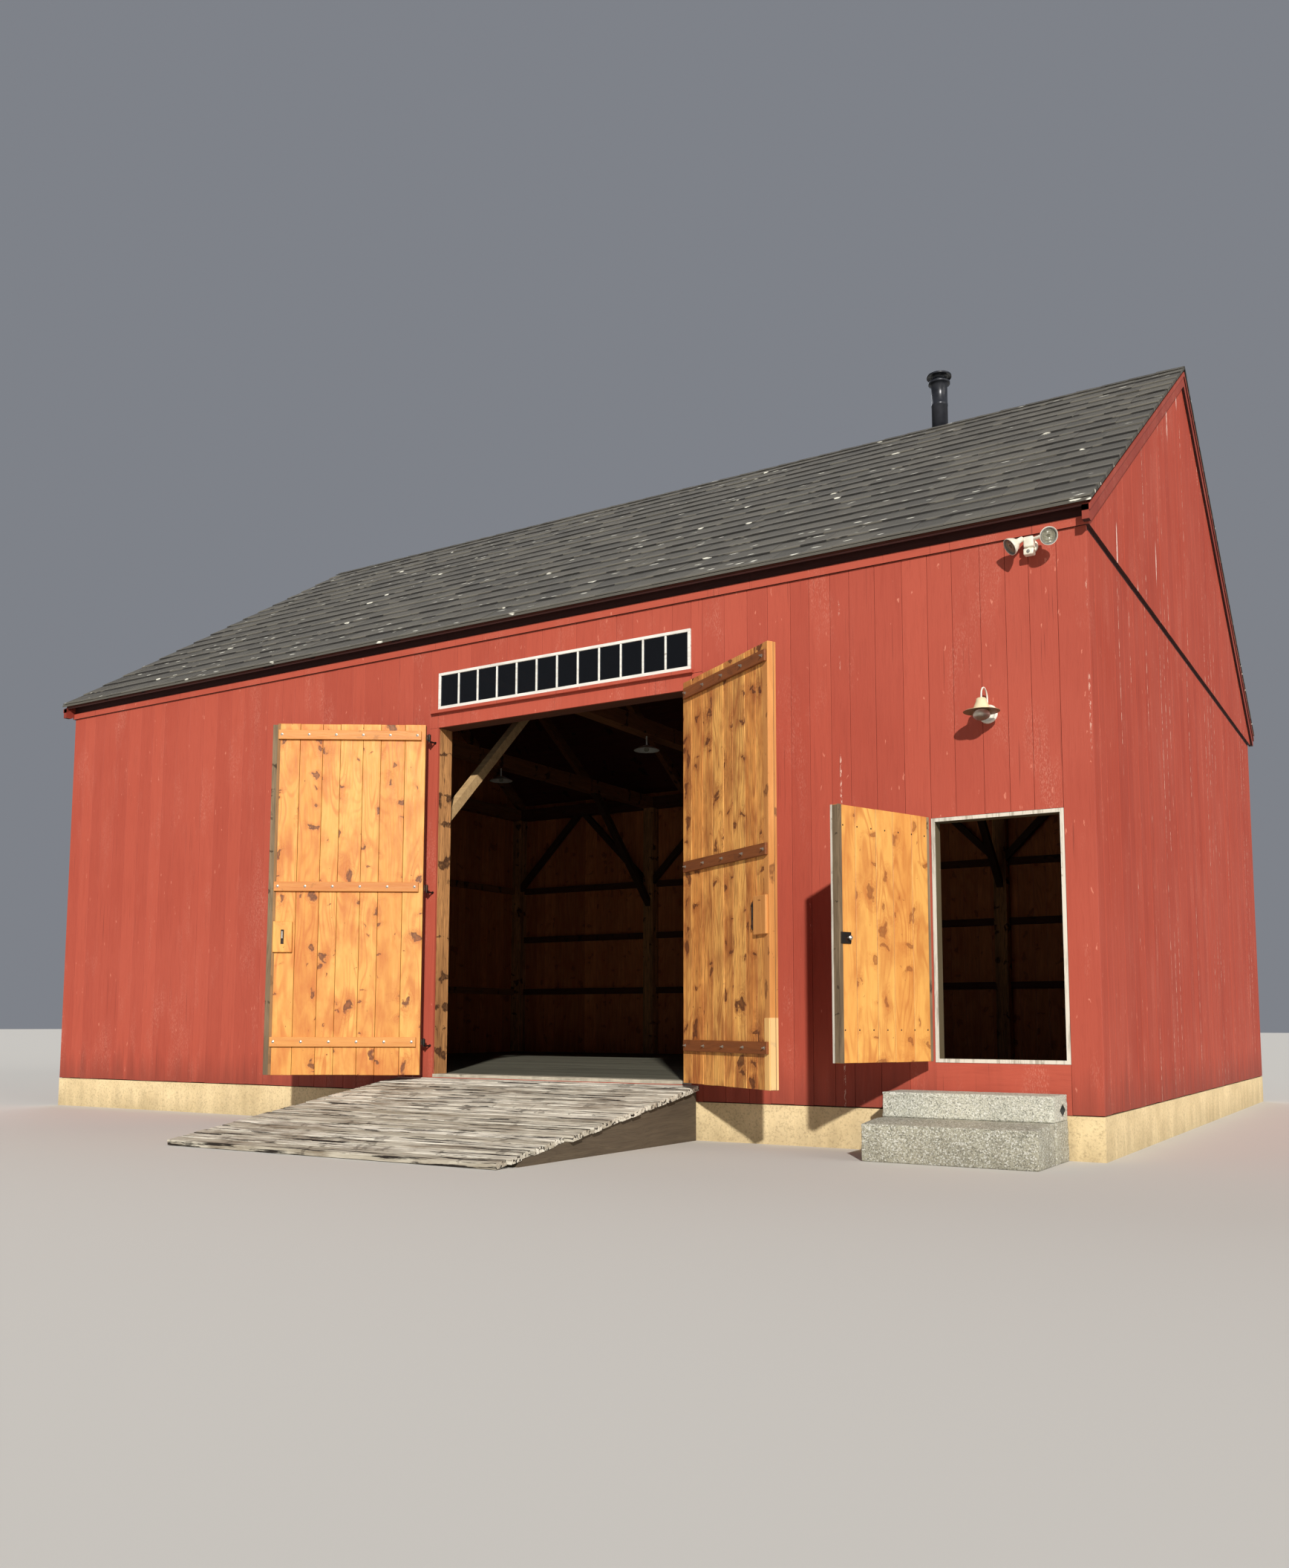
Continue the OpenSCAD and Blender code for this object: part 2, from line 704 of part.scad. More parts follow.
module hinge_pintles() color(iron) placed() {
    drop = strap_h / 2 + pin_d / 2 + 1;
    for (x = [left_axis_x, right_axis_x], z = strap_zs)
        translate([x, 0, big_leaf_z + z - drop]) pintle(strap_h + 1);
    for (z = side_strap_zs)
        translate([side_axis_x, 0, side_leaf_z + z - drop]) pintle(strap_h + 1);
}

module barn_lamp() color("wheat") placed() translate([side_x + lamp_in, 0, side_top + lamp_up]) {
    loop_r = (lamp_out - lamp_plate_t) / 2;
    loop_z = neck_h + 34;
    neck_r = neck_d / 2;
    brim_r = neck_r + 30;
    // Round plate on the wall
    rotate([90, 0, 0]) cylinder(d = lamp_plate_d, h = lamp_plate_t, $fn = 40);
    // Gooseneck that rises from the plate and loops over to the shade
    translate([0, -lamp_plate_t - loop_r, loop_z]) rotate([90, 0, 0]) rotate([0, 90, 0])
        rotate_extrude(angle = 180, $fn = 32) translate([loop_r, 0]) circle(d = lamp_arm_d, $fn = 16);
    translate([0, -lamp_plate_t, 0]) cylinder(d = lamp_arm_d, h = loop_z, $fn = 16);
    translate([0, -lamp_out, neck_h]) cylinder(d = lamp_arm_d, h = loop_z - neck_h, $fn = 16);
    translate([0, -lamp_out, 0]) {
        // Thin shade: a conical neck that flares into a wide brim
        rotate_extrude($fn = 40)
            polygon([[0, neck_h + 14], [neck_r - 3, neck_h + 14], [neck_r, neck_h + 10], [brim_r - 4, 22],
                [brim_r + 2, 14], [shade_d / 2, 0], [shade_d / 2, -4], [brim_r, 9], [brim_r - 7, 18],
                [neck_r - 4, neck_h + 6], [0, neck_h + 6]]);
        // Glass globe on its collar
        rotate_extrude($fn = 40)
            polygon([[0, neck_h + 8], [20, neck_h + 8], [20, 20], [globe_d / 2 - 16, 4], [globe_d / 2, -22],
                [globe_d / 2 - 2, -40], [globe_d / 2 - 22, -64], [0, -76]]);
    }
}

// A lamp head that points to -Y from its knuckle, with a sunk lens
module flood_head() {
    rotate([90, 0, 0]) rotate_extrude($fn = 32)
        polygon([[0, -24], [16, -24], [22, -18], [24, 34], [flood_d / 2 - 20, 62], [flood_d / 2, 104],
            [flood_d / 2, 118], [flood_d / 2 - 5, 118], [flood_d / 2 - 6, 106], [0, 106]]);
}

// An arm from the floodlight's body to a knuckle, with the head on it
module flood_arm(x, y, z, tilt, pan) {
    translate([0, -flood_body_out, z]) rotate([0, 0, atan2(y + flood_body_out, x)]) rotate([0, 90, 0])
        cylinder(d = 30, h = norm([x, y + flood_body_out]), $fn = 20);
    translate([x, y, z]) rotate([tilt, 0, pan]) flood_head();
}

module floodlight() color("ghostwhite") placed()
    translate([barn_l - flood_inset, 0, frieze_z - flood_drop]) {
        rotate([90, 0, 0]) cylinder(d = 116, h = 30, $fn = 32);
        // Body with the sensor that hangs under it
        translate([0, -flood_body_out, -26]) linear_extrude(90)
            offset(r = 8, $fn = 16) square([66, 60], center = true);
        translate([0, -flood_body_out, -40]) cylinder(d = 44, h = 20, $fn = 32);
        translate([0, -flood_body_out - 6, -90]) linear_extrude(54)
            offset(r = 8, $fn = 16) square([70, 52], center = true);
        flood_arm(-58, -110, 38, 35, -50);
        flood_arm(136, -120, 38, 24, 34);
    }

module pendant_lamps() color("whitesmoke") placed()
    for (p = pendant_spots) translate([p[0], p[1], plate_z - pendant_drop]) {
        translate([0, 0, 60]) cylinder(d = 24, h = pendant_drop - 60, $fn = 24);
        rotate_extrude($fn = 40)
            polygon([[0, 60], [0, 66], [50, 66], [pendant_d / 2, 4], [pendant_d / 2, 0], [48, 60]]);
        // Bulb
        rotate_extrude($fn = 24) polygon([[0, 61], [20, 61], [20, 40], [36, 20], [30, -4], [0, -14]]);
    }

module stove_pipe() color("black") placed() {
    base = slope_z(pipe_y) - pipe_low;
    top = ridge_z + pipe_up;
    foot = top - pipe_cap_h;
    pipe_r = pipe_d / 2;
    cap_r = pipe_cap_d / 2;
    drum_r = pipe_r - 15;
    // Pipe, its collar, the drum over it and the domed cap, thin all over
    translate([pipe_x, pipe_y, 0]) rotate_extrude($fn = 48)
        polygon([[pipe_r - pipe_wall, base], [pipe_r, base], [pipe_r, foot], [cap_r - 20, foot],
            [cap_r - 20, foot + 28], [drum_r, foot + 28], [drum_r, top - 44], [cap_r - pipe_wall, top - 44],
            [cap_r - pipe_wall, top - 60], [cap_r, top - 60], [cap_r, top - 36], [60, top], [0, top],
            [0, top - 6], [drum_r - pipe_wall, top - 40], [drum_r - pipe_wall, foot + 24],
            [pipe_r - pipe_wall, foot + 24]]);
}

module ramp_deck() color(grey_wood) placed()
    along_x(ramp_x, ramp_x + ramp_w, [[-ramp_gap, ramp_top - ramp_t], [-ramp_gap, ramp_top],
        [-ramp_foot, ramp_t], [-ramp_foot, 0]]);

module ramp_stringers() color(grey_wood) placed() {
    step = (ramp_w - stringer_w - 2 * stringer_inset) / (stringer_n - 1);
    end = stringer_end / ramp_slope;
    for (i = [0 : stringer_n - 1]) {
        x = ramp_x + stringer_inset + i * step;
        along_x(x, x + stringer_w, [[-ramp_gap, 0], [-ramp_gap, ramp_top - ramp_t],
            [-ramp_foot + end, stringer_end], [-ramp_foot + end, 0]]);
    }
}

module lower_step() color("lightgray") placed()
    block([step_x, -step_gap - low_step_d, 0], [step_x + step_l, -step_gap, board_z - low_step_drop]);

module upper_step() color("lightgray") placed()
    block([step_x, -step_gap - up_step_d, board_z - low_step_drop],
        [step_x + step_l, -step_gap, board_z - low_step_drop + up_step_h]);

// A leaf is drawn shut, with its hinge axis at X = 0, Y = 0 and its inner face towards +Y,
// then turned open about the axis. Side is 1 for a hinge at the left and -1 at the right.
module leaf_at(axis_x, low_z, side, angle) {
    translate([axis_x, -axis_y, low_z]) rotate([0, 0, -side * angle])
        mirror([side < 0 ? 1 : 0, 0, 0]) children();
}

module left_leaf() leaf_at(left_axis_x, big_leaf_z, 1, left_open) children();
module right_leaf() leaf_at(right_axis_x, big_leaf_z, -1, right_open) children();
module side_leaf() leaf_at(side_axis_x, side_leaf_z, 1, side_open) children();

module skin(w, h) block([edge_gap, strap_t / 2, 0], [w, strap_t / 2 + leaf_skin_t, h]);
module core(w, h) block([edge_gap, strap_t / 2 + leaf_skin_t, 0], [w, leaf_t, h]);

// Three battens across the inner boards and the block that takes the lock
module battens(axis_out, w, h) {
    high = h - batten_drop - batten_h;
    for (z = [low_batten, (low_batten + high) / 2, high])
        block([axis_out + batten_gap, leaf_t, z], [w - batten_edge, leaf_t + batten_t, z + batten_h]);
    block([w - lock_edge - lock_w, leaf_t, lock_z], [w - lock_edge, leaf_t + batten_t, lock_z + lock_h]);
}

// A strap with its eye round the pintle
module strap(l, z) {
    translate([0, 0, z - strap_h / 2]) difference() {
        union() {
            cylinder(d = eye_d, h = strap_h, $fn = 20);
            block([0, -strap_t / 2, 0], [l, strap_t / 2, strap_h]);
        }
        translate([0, 0, -1]) cylinder(d = pin_d + 2 * pin_gap, h = strap_h + 2, $fn = 20);
    }
}

module left_leaf_siding() color(red) placed() left_leaf() skin(left_leaf_w + leaf_lap, left_leaf_h);
module left_leaf_boards() color(pine) placed() left_leaf() core(left_leaf_w, left_leaf_h);
module left_leaf_battens() color(pine) placed() left_leaf() battens(left_axis_out, left_leaf_w, left_leaf_h);
module left_leaf_ironwork() color(iron) placed() left_leaf() {
    for (z = strap_zs) strap(strap_l, z);
    // Latch on the lock block
    translate([left_leaf_w - lock_edge - lock_w / 2, leaf_t + batten_t, lock_z + lock_h / 2])
        block([-15, 0, -60], [15, 20, 60]);
}

module right_leaf_siding() color(red) placed() right_leaf() skin(right_leaf_w, right_leaf_h);
module right_leaf_boards() color(pine) placed() right_leaf() core(right_leaf_w, right_leaf_h);
module right_leaf_battens() color(pine) placed() right_leaf()
    battens(right_axis_out, right_leaf_w, right_leaf_h);
module right_leaf_ironwork() color(iron) placed() right_leaf() {
    for (z = strap_zs) strap(strap_l, z);
    // Bolt beside the lock block
    translate([right_leaf_w - lock_edge - lock_w - 30, leaf_t, lock_z + lock_h / 2])
        block([-15, 0, -120], [12, 24, 120]);
}

module side_door_siding() color(red) placed() side_leaf() skin(side_leaf_w, side_leaf_h);
module side_door_boards() color(pine) placed() side_leaf() core(side_leaf_w, side_leaf_h);
module side_door_ironwork() color(iron) placed() side_leaf() {
    for (z = side_strap_zs) strap(side_strap_l, z);
    // Rim latch
    translate([side_leaf_w, leaf_t, side_latch]) block([-130, 0, -45], [-20, 12, 45]);
}

foundation();
sill_beams();
floor_joists();
floor_deck();
posts();
wall_plates();
tie_beams();
knee_braces();
wall_girts();
gable_girts();
side_door_studs();
rafters();
roof_boards();
front_roof();
rear_roof();
ridge_cap();
front_wall_left();
front_wall_over_doors();
front_wall_middle();
front_wall_over_side_door();
front_wall_under_doors();
front_wall_right();
rear_wall();
left_gable_wall();
right_gable_wall();
left_gable_top();
right_gable_top();
front_cornice();
rear_cornice();
rake_boards();
door_casings();
door_sill();
transom_frame();
transom_glass();
side_door_frame();
hinge_pintles();
barn_lamp();
floodlight();
pendant_lamps();
stove_pipe();
ramp_deck();
ramp_stringers();
lower_step();
upper_step();
left_leaf_siding();
left_leaf_boards();
left_leaf_battens();
left_leaf_ironwork();
right_leaf_siding();
right_leaf_boards();
right_leaf_battens();
right_leaf_ironwork();
side_door_siding();
side_door_boards();
side_door_ironwork();
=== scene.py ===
import json
import math
import random

import bmesh
import bpy
from mathutils import Matrix, Vector, noise


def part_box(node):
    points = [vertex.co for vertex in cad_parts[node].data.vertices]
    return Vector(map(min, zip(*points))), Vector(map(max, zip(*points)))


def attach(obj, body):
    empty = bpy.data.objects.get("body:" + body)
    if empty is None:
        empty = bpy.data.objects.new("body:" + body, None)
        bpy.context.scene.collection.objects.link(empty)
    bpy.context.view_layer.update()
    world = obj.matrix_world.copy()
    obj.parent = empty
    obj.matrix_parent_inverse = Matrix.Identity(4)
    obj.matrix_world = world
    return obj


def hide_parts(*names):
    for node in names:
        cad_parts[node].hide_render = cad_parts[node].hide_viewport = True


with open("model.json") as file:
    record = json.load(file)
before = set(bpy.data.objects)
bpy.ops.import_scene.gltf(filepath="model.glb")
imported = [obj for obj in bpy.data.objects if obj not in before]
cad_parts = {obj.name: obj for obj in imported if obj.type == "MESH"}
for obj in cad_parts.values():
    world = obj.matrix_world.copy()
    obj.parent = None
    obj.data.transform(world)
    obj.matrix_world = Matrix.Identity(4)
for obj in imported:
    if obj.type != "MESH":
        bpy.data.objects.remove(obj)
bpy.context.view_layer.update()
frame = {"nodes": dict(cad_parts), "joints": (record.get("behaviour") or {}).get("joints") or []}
cadNodes = frame["nodes"]
scene = bpy.context.scene
print("frame loaded:", len(cadNodes), "nodes")

# faces of the building that the pieces are set out from, in metres
leftX, frontY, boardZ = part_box("front_wall_left")[0]
rightX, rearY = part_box("front_wall_right")[1].x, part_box("rear_wall")[1].y
midY = (frontY + rearY) / 2
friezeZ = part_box("left_gable_top")[0].z
doorLow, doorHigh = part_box("door_sill")
sashHigh = 0.403     # the transom's sash, which the boards over the doors leave free
joints = {joint["name"]: joint for joint in frame["joints"]}
roofShape = {"pitch": 0.662, "shingle": 0.020, "boards": 0.0254, "eaveOut": 0.150}
roofCos = math.cos(math.atan(roofShape["pitch"]))

cameraView = {
    "place": (8.83409, -13.93097, 1.04888),
    "yaw": -31.711,      # degrees, from straight at the front
    "pitch": 5.675,
    "roll": 0.126,
    "frameHigh": 36,     # mm
    "lens": 29.956,
    "shift": 0.0706,     # of the frame's height, as the photo's framing needs
    "farthest": 300,
}


def placeCamera():
    yaw, pitch, roll = (math.radians(cameraView[key]) for key in ("yaw", "pitch", "roll"))
    forward = Vector((math.sin(yaw) * math.cos(pitch), math.cos(yaw) * math.cos(pitch),
                      math.sin(pitch)))
    right = Vector((math.cos(yaw), -math.sin(yaw), 0))
    up = right.cross(forward)
    axisX = math.cos(roll) * right + math.sin(roll) * up
    axisY = math.cos(roll) * up - math.sin(roll) * right
    turn = Matrix((axisX, axisY, -forward)).transposed().to_4x4()
    data = bpy.data.cameras.new("photo_camera")
    data.sensor_fit = "VERTICAL"
    data.sensor_height = cameraView["frameHigh"]
    data.lens = cameraView["lens"]
    data.shift_y = cameraView["shift"]
    data.clip_end = cameraView["farthest"]
    camera = bpy.data.objects.new("photo_camera", data)
    camera.matrix_world = Matrix.Translation(cameraView["place"]) @ turn
    scene.collection.objects.link(camera)
    scene.camera = camera


lightSet = {
    # strength, softness and turn in degrees, colour
    "suns": {
        "key_light": (4.1, 1.5, (66, 0, 33), (1, 0.96, 0.9)),
        "side_light": (0.8, 40, (72, 0, 84), (1, 0.96, 0.9)),
        "back_light": (0.7, 40, (50, 0, 215), (0.92, 0.95, 1)),
    },
    "skyColor": (0.84, 0.89, 1.0), "skyStrength": 0.25,
    "floorSize": 400, "floorColor": (0.60, 0.58, 0.54), "floorRough": 0.9,
}


def addSun(name, strength, softness, turn, color):
    data = bpy.data.lights.new(name, "SUN")
    data.energy = strength
    data.angle = math.radians(softness)
    data.color = color
    lamp = bpy.data.objects.new(name, data)
    lamp.rotation_euler = [math.radians(a) for a in turn]
    scene.collection.objects.link(lamp)


def lightStudio():
    scene.view_settings.view_transform = "Standard"
    for name, values in lightSet["suns"].items():
        addSun(name, *values)
    world = bpy.data.worlds.new("studio")
    scene.world = world
    world.use_nodes = True
    backdrop = world.node_tree.nodes["Background"]
    backdrop.inputs["Color"].default_value = (*lightSet["skyColor"], 1)
    backdrop.inputs["Strength"].default_value = lightSet["skyStrength"]
    bm = bmesh.new()
    bmesh.ops.create_grid(bm, x_segments=1, y_segments=1, size=lightSet["floorSize"] / 2)
    mesh = bpy.data.meshes.new("studio_floor")
    bm.to_mesh(mesh)
    bm.free()
    floor = bpy.data.objects.new("studio_floor", mesh)
    scene.collection.objects.link(floor)
    finish = bpy.data.materials.new("studio_floor")
    finish.use_nodes = True
    shader = finish.node_tree.nodes["Principled BSDF"]
    shader.inputs["Base Color"].default_value = (*lightSet["floorColor"], 1)
    shader.inputs["Roughness"].default_value = lightSet["floorRough"]
    mesh.materials.append(finish)


placeCamera()
lightStudio()
print("camera, light and floor placed")


def rgb(red, green, blue):
    # screen colour 0-255 to the linear colour that sockets take
    def linear(value):
        value /= 255
        return value / 12.92 if value <= 0.04045 else ((value + 0.055) / 1.055) ** 2.4
    return (linear(red), linear(green), linear(blue), 1)


def addNode(kind, sockets, **settings):
    # a new node in the tree of the sockets that are linked to it
    linked = (value for value in sockets.values() if isinstance(value, bpy.types.NodeSocket))
    tree = next(linked).id_data
    node = tree.nodes.new(kind)
    for key, value in settings.items():
        setattr(node, key, value)
    for key, value in sockets.items():
        if isinstance(value, bpy.types.NodeSocket):
            tree.links.new(value, node.inputs[key])
        else:
            node.inputs[key].default_value = value
    return node


def mixColors(factor, first, second):
    return addNode("ShaderNodeMix", {0: factor, 6: first, 7: second}, data_type="RGBA").outputs[2]


def layered(base, *layers):
    # paints each colour over the base where its mask is bright
    for mask, color in layers:
        base = mixColors(mask, base, rgb(*color))
    return base


def calculate(operation, first, second=0.0, clamp=False):
    return addNode("ShaderNodeMath", {0: first, 1: second}, operation=operation,
                   use_clamp=clamp).outputs[0]


def times(first, second, clamp=False):
    return calculate("MULTIPLY", first, second, clamp)


def plus(first, second):
    return calculate("ADD", first, second)


def minus(first, second):
    return calculate("SUBTRACT", first, second)


def remap(value, low, high, toLow=0.0, toHigh=1.0):
    return addNode("ShaderNodeMapRange", {"Value": value, "From Min": low, "From Max": high,
                                          "To Min": toLow, "To Max": toHigh}).outputs["Result"]


def stretch(vector, factors):
    return addNode("ShaderNodeVectorMath", {0: vector, 1: factors}, operation="MULTIPLY").outputs[0]


def scaled(vector, factor):
    return addNode("ShaderNodeVectorMath", {0: vector, "Scale": factor},
                   operation="SCALE").outputs[0]


def moved(vector, offset):
    return addNode("ShaderNodeVectorMath", {0: vector, 1: offset}).outputs[0]


def apartXYZ(vector):
    return addNode("ShaderNodeSeparateXYZ", {0: vector}).outputs


def cloud(vector, scale, detail=3.0, roughness=0.55, by=None):
    # soft noise, stretched by three factors where they are given
    vector = stretch(vector, by) if by else vector
    return addNode("ShaderNodeTexNoise", {"Vector": vector, "Scale": scale, "Detail": detail,
                                          "Roughness": roughness}).outputs["Fac"]


def cellChance(cells):
    # one number for each cell of a Voronoi texture
    return addNode("ShaderNodeSeparateColor", {0: cells["Color"]}).outputs[0]


def newGroup(name, takes, gives):
    # every socket is a number, apart from the one labelled Vector
    group = bpy.data.node_groups.new(name, "ShaderNodeTree")
    for way, labels in (("INPUT", takes), ("OUTPUT", gives)):
        for label in labels.split():
            kind = "NodeSocketVector" if label == "Vector" else "NodeSocketFloat"
            group.interface.new_socket(label, in_out=way, socket_type=kind)
    take, give = group.nodes.new("NodeGroupInput"), group.nodes.new("NodeGroupOutput")
    return group, take.outputs, give.inputs


def linkResults(group, give, **results):
    for label, result in results.items():
        group.links.new(result, give[label])
    return group


def makeGrain():
    # wood grain along Z: fine lines, broad figure, arched rings, knots and the height of all
    group, take, give = newGroup("wood_grain", "Vector Tone Knots",
                                 "Fine Broad Knot Halo Rings Height")
    point = moved(take["Vector"], scaled((17, 31, 53), take["Tone"]))
    wave = cloud(point, 2.2, 2, by=(1, 1, 0.35))
    wave = addNode("ShaderNodeCombineXYZ", {0: wave, 1: wave, 2: 0}).outputs[0]
    bent = moved(point, stretch(wave, (0.16, 0.16, 0)))
    fine = cloud(bent, 105, 3, 0.6, by=(1, 1, 0.035))
    broad = cloud(bent, 24, 4, 0.6, by=(1, 1, 0.07))
    swirl = addNode("ShaderNodeTexNoise", {"Vector": point, "Scale": 8.0, "Detail": 3.0})
    apart = apartXYZ(moved(bent, scaled(swirl.outputs["Color"], 0.22)))
    arches = cloud(bent, 4.2, 1, 0.4, by=(1, 1, 0.17))
    arches = calculate("SINE", times(arches, 85.0))
    ragged = cloud(point, 17, 5, 0.7, by=(1, 1, 0.5))
    ragged = times(remap(ragged, 0.2, 0.8, -0.16, 0.16), 0.6)
    knot = halo = None
    # round knots, then flat spike knots
    for squash, scale, rarest, biggest in ((0.55, 5.2, 0.62, 0.20), (2.1, 2.9, 0.62, 0.15)):
        flat = addNode("ShaderNodeCombineXYZ", {0: apart["X"], 1: times(apart["Z"], squash)})
        cells = addNode("ShaderNodeTexVoronoi", {"Vector": flat.outputs[0], "Scale": scale},
                        voronoi_dimensions="2D").outputs
        size = remap(cellChance(cells), rarest, 1.0, 0.0005, biggest)
        away = calculate("DIVIDE", plus(cells["Distance"], ragged), size)
        ring = times(remap(away, 1.3, 0.7), remap(away, 0.1, 0.8, 0.6, 1.0))
        ripple = remap(calculate("SINE", times(away, 9.0)), -1, 1, 0.35, 1)
        around = times(remap(away, 4.0, 1.0), ripple)
        knot = calculate("MAXIMUM", knot, ring) if knot else ring
        halo = calculate("MAXIMUM", halo, around) if halo else around
    knot, halo = (times(mask, take["Knots"]) for mask in (knot, halo))
    height = plus(times(fine, 0.7), times(broad, 0.5))
    return linkResults(group, give, Fine=fine, Broad=broad, Knot=knot, Halo=halo,
                       Rings=remap(arches, 0.1, 1.0),
                       Height=minus(height, times(knot, 0.4)))


def makeWeather():
    # slow patches, streaks that run down and splash dirt near the ground
    group, take, give = newGroup("weather", "Vector Ground Reach", "Patch Streak Splash")
    streak = cloud(take["Vector"], 7, 5, 0.65, by=(1, 1, 0.05))
    height = apartXYZ(take["Vector"])["Z"]
    above = calculate("DIVIDE", minus(height, take["Ground"]), take["Reach"])
    ragged = plus(above, remap(streak, 0.3, 0.7, -0.5, 0.5))
    return linkResults(group, give, Patch=remap(cloud(take["Vector"], 0.9, 4), 0.35, 0.68),
                       Streak=remap(streak, 0.42, 0.75), Splash=remap(ragged, 1, 0))


def makeFlakes():
    # scattered spots with ragged edges: lichen, chipped paint, grit
    group, take, give = newGroup("flakes", "Vector Scale Amount", "Flake")
    ragged = addNode("ShaderNodeTexNoise",
                     {"Vector": take["Vector"], "Scale": take["Scale"], "Detail": 4.0})
    place = moved(take["Vector"], scaled(ragged.outputs["Color"], 0.05))
    cells = addNode("ShaderNodeTexVoronoi", {"Vector": place, "Scale": take["Scale"]}).outputs
    chosen = calculate("LESS_THAN", cellChance(cells), take["Amount"])
    return linkResults(group, give, Flake=times(remap(cells["Distance"], 0.34, 0.22), chosen))


grain, weather, flakes = makeGrain(), makeWeather(), makeFlakes()


def useGroup(group, sockets):
    return addNode("ShaderNodeGroup", sockets, node_tree=group).outputs


def startFinish(name, constants=None):
    finish = bpy.data.materials.new(name)
    finish.use_nodes = True
    for key, value in (constants or {}).items():
        finish.node_tree.nodes["Principled BSDF"].inputs[key].default_value = value
    place = finish.node_tree.nodes.new("ShaderNodeTexCoord").outputs["Object"]
    return finish, place


def endFinish(finish, base, rough, height, depth):
    # colour, roughness and bump; an even roughness is set on the shader's own socket
    tree = finish.node_tree
    inputs = tree.nodes["Principled BSDF"].inputs
    tree.links.new(base, inputs["Base Color"])
    if isinstance(rough, float):
        inputs["Roughness"].default_value = rough
    else:
        tree.links.new(rough, inputs["Roughness"])
    bump = addNode("ShaderNodeBump", {"Height": height, "Distance": depth, "Strength": 1.0})
    tree.links.new(bump.outputs[0], inputs["Normal"])
    return finish


def boardTone(place):
    # each board's own shade, which join() stores on its faces
    stored = place.id_data.nodes.new("ShaderNodeAttribute")
    stored.attribute_name = "tone"
    return stored.outputs["Fac"]


def turned(place, axis, angle):
    # brings the grain's direction to Z: "x", "y", "z" or a level direction at an angle from X
    if axis == "z" and not angle:
        return place
    level = addNode("ShaderNodeMapping", {"Vector": place, "Rotation": (0, 0, -angle)}).outputs[0]
    if axis == "z":
        return level
    turn = (0, math.radians(-90), 0) if axis == "x" else (math.radians(90), 0, 0)
    return addNode("ShaderNodeMapping", {"Vector": level, "Rotation": turn}).outputs[0]


def linesOf(place, tone=0.3, knots=0.0, axis="z", angle=0.0):
    return useGroup(grain, {"Vector": turned(place, axis, angle), "Tone": tone, "Knots": knots})


def agingOf(place, ground, reach):
    return useGroup(weather, {"Vector": place, "Ground": ground, "Reach": reach})


def flakesOn(place, scale, amount, by=None):
    vector = stretch(place, by) if by else place
    return useGroup(flakes, {"Vector": vector, "Scale": scale, "Amount": amount})["Flake"]


leafAngles = {leaf: math.radians(angle) for leaf, angle in
              (("left_leaf", -146.5), ("right_leaf", 147.5), ("side_door", -110))}


def boardWood(name, light, dark, knotColor, axis="z", angle=0.0, knots=1.0, rough=0.62, stain=None,
              stainAmount=0.0, depth=0.0015, halo=None, patchy=0.0, lined=0.45, shadeBehind=None,
              paleBelow=None):
    finish, place = startFinish(name, {"Specular IOR Level": 0.35})
    tone = boardTone(place)
    lines = linesOf(place, tone, knots, axis, angle)
    figure = plus(times(lines["Broad"], 1.1), times(tone, 0.55))
    base = mixColors(remap(figure, 0.35, 1.25), rgb(*light), rgb(*dark))
    if halo:
        slow = remap(cloud(place, 5.0, 4, by=(1, 1, 0.45)), 0.45, 0.66, 0, patchy)
        figured = remap(cloud(place, 3.1, 2, by=(1, 1, 0.6)), 0.42, 0.62, 0.08, 0.52)
        base = layered(base, (slow, halo), (times(lines["Rings"], figured), halo),
                       (times(lines["Halo"], 0.75), halo))
    base = layered(base, (remap(lines["Fine"], 0.5, 0.72, 0, lined), stain or dark),
                   (lines["Knot"], knotColor))
    if stain:
        aging = agingOf(place, 0.5, 0.6)
        base = layered(base, (times(aging["Streak"], stainAmount, True), stain))
    if paleBelow:
        below = remap(apartXYZ(place)["Z"], paleBelow + 0.002, paleBelow, 0, 0.6)
        base = layered(base, (below, (240, 208, 150)))
    # painted shade: the wood darkens deeper inside the barn
    if shadeBehind:
        behind = remap(apartXYZ(place)["Y"], shadeBehind, shadeBehind + 0.4)
        base = layered(base, (behind, knotColor))
    rough = remap(lines["Fine"], 0.3, 0.7, rough - 0.1, rough + 0.12)
    return endFinish(finish, base, rough, lines["Height"], depth)


def sunBleached(name):
    # grey planks along X with dark splits and brown hollows
    finish, place = startFinish(name, {"Specular IOR Level": 0.3})
    tone = boardTone(place)
    lines = linesOf(place, tone, 0.6, "x")
    ownPlace = moved(place, scaled((0, 9, 4), tone))
    split = remap(cloud(ownPlace, 34, 5, 0.62, by=(0.05, 1, 1)), 0.555, 0.585)
    hollows = remap(cloud(place, 3.4, 5, 0.65, by=(0.4, 1, 1)), 0.5, 0.68, 0, 0.7)
    base = mixColors(tone, rgb(196, 189, 172), rgb(246, 241, 226))
    base = layered(base,
                   (remap(lines["Broad"], 0.42, 0.7, 0, 0.75), (132, 120, 100)),
                   (remap(lines["Fine"], 0.5, 0.75, 0, 0.6), (92, 82, 68)),
                   (hollows, (112, 94, 74)), (lines["Knot"], (60, 50, 40)), (split, (40, 33, 28)))
    return endFinish(finish, base, 0.88, minus(lines["Height"], times(split, 1.2)), 0.006)


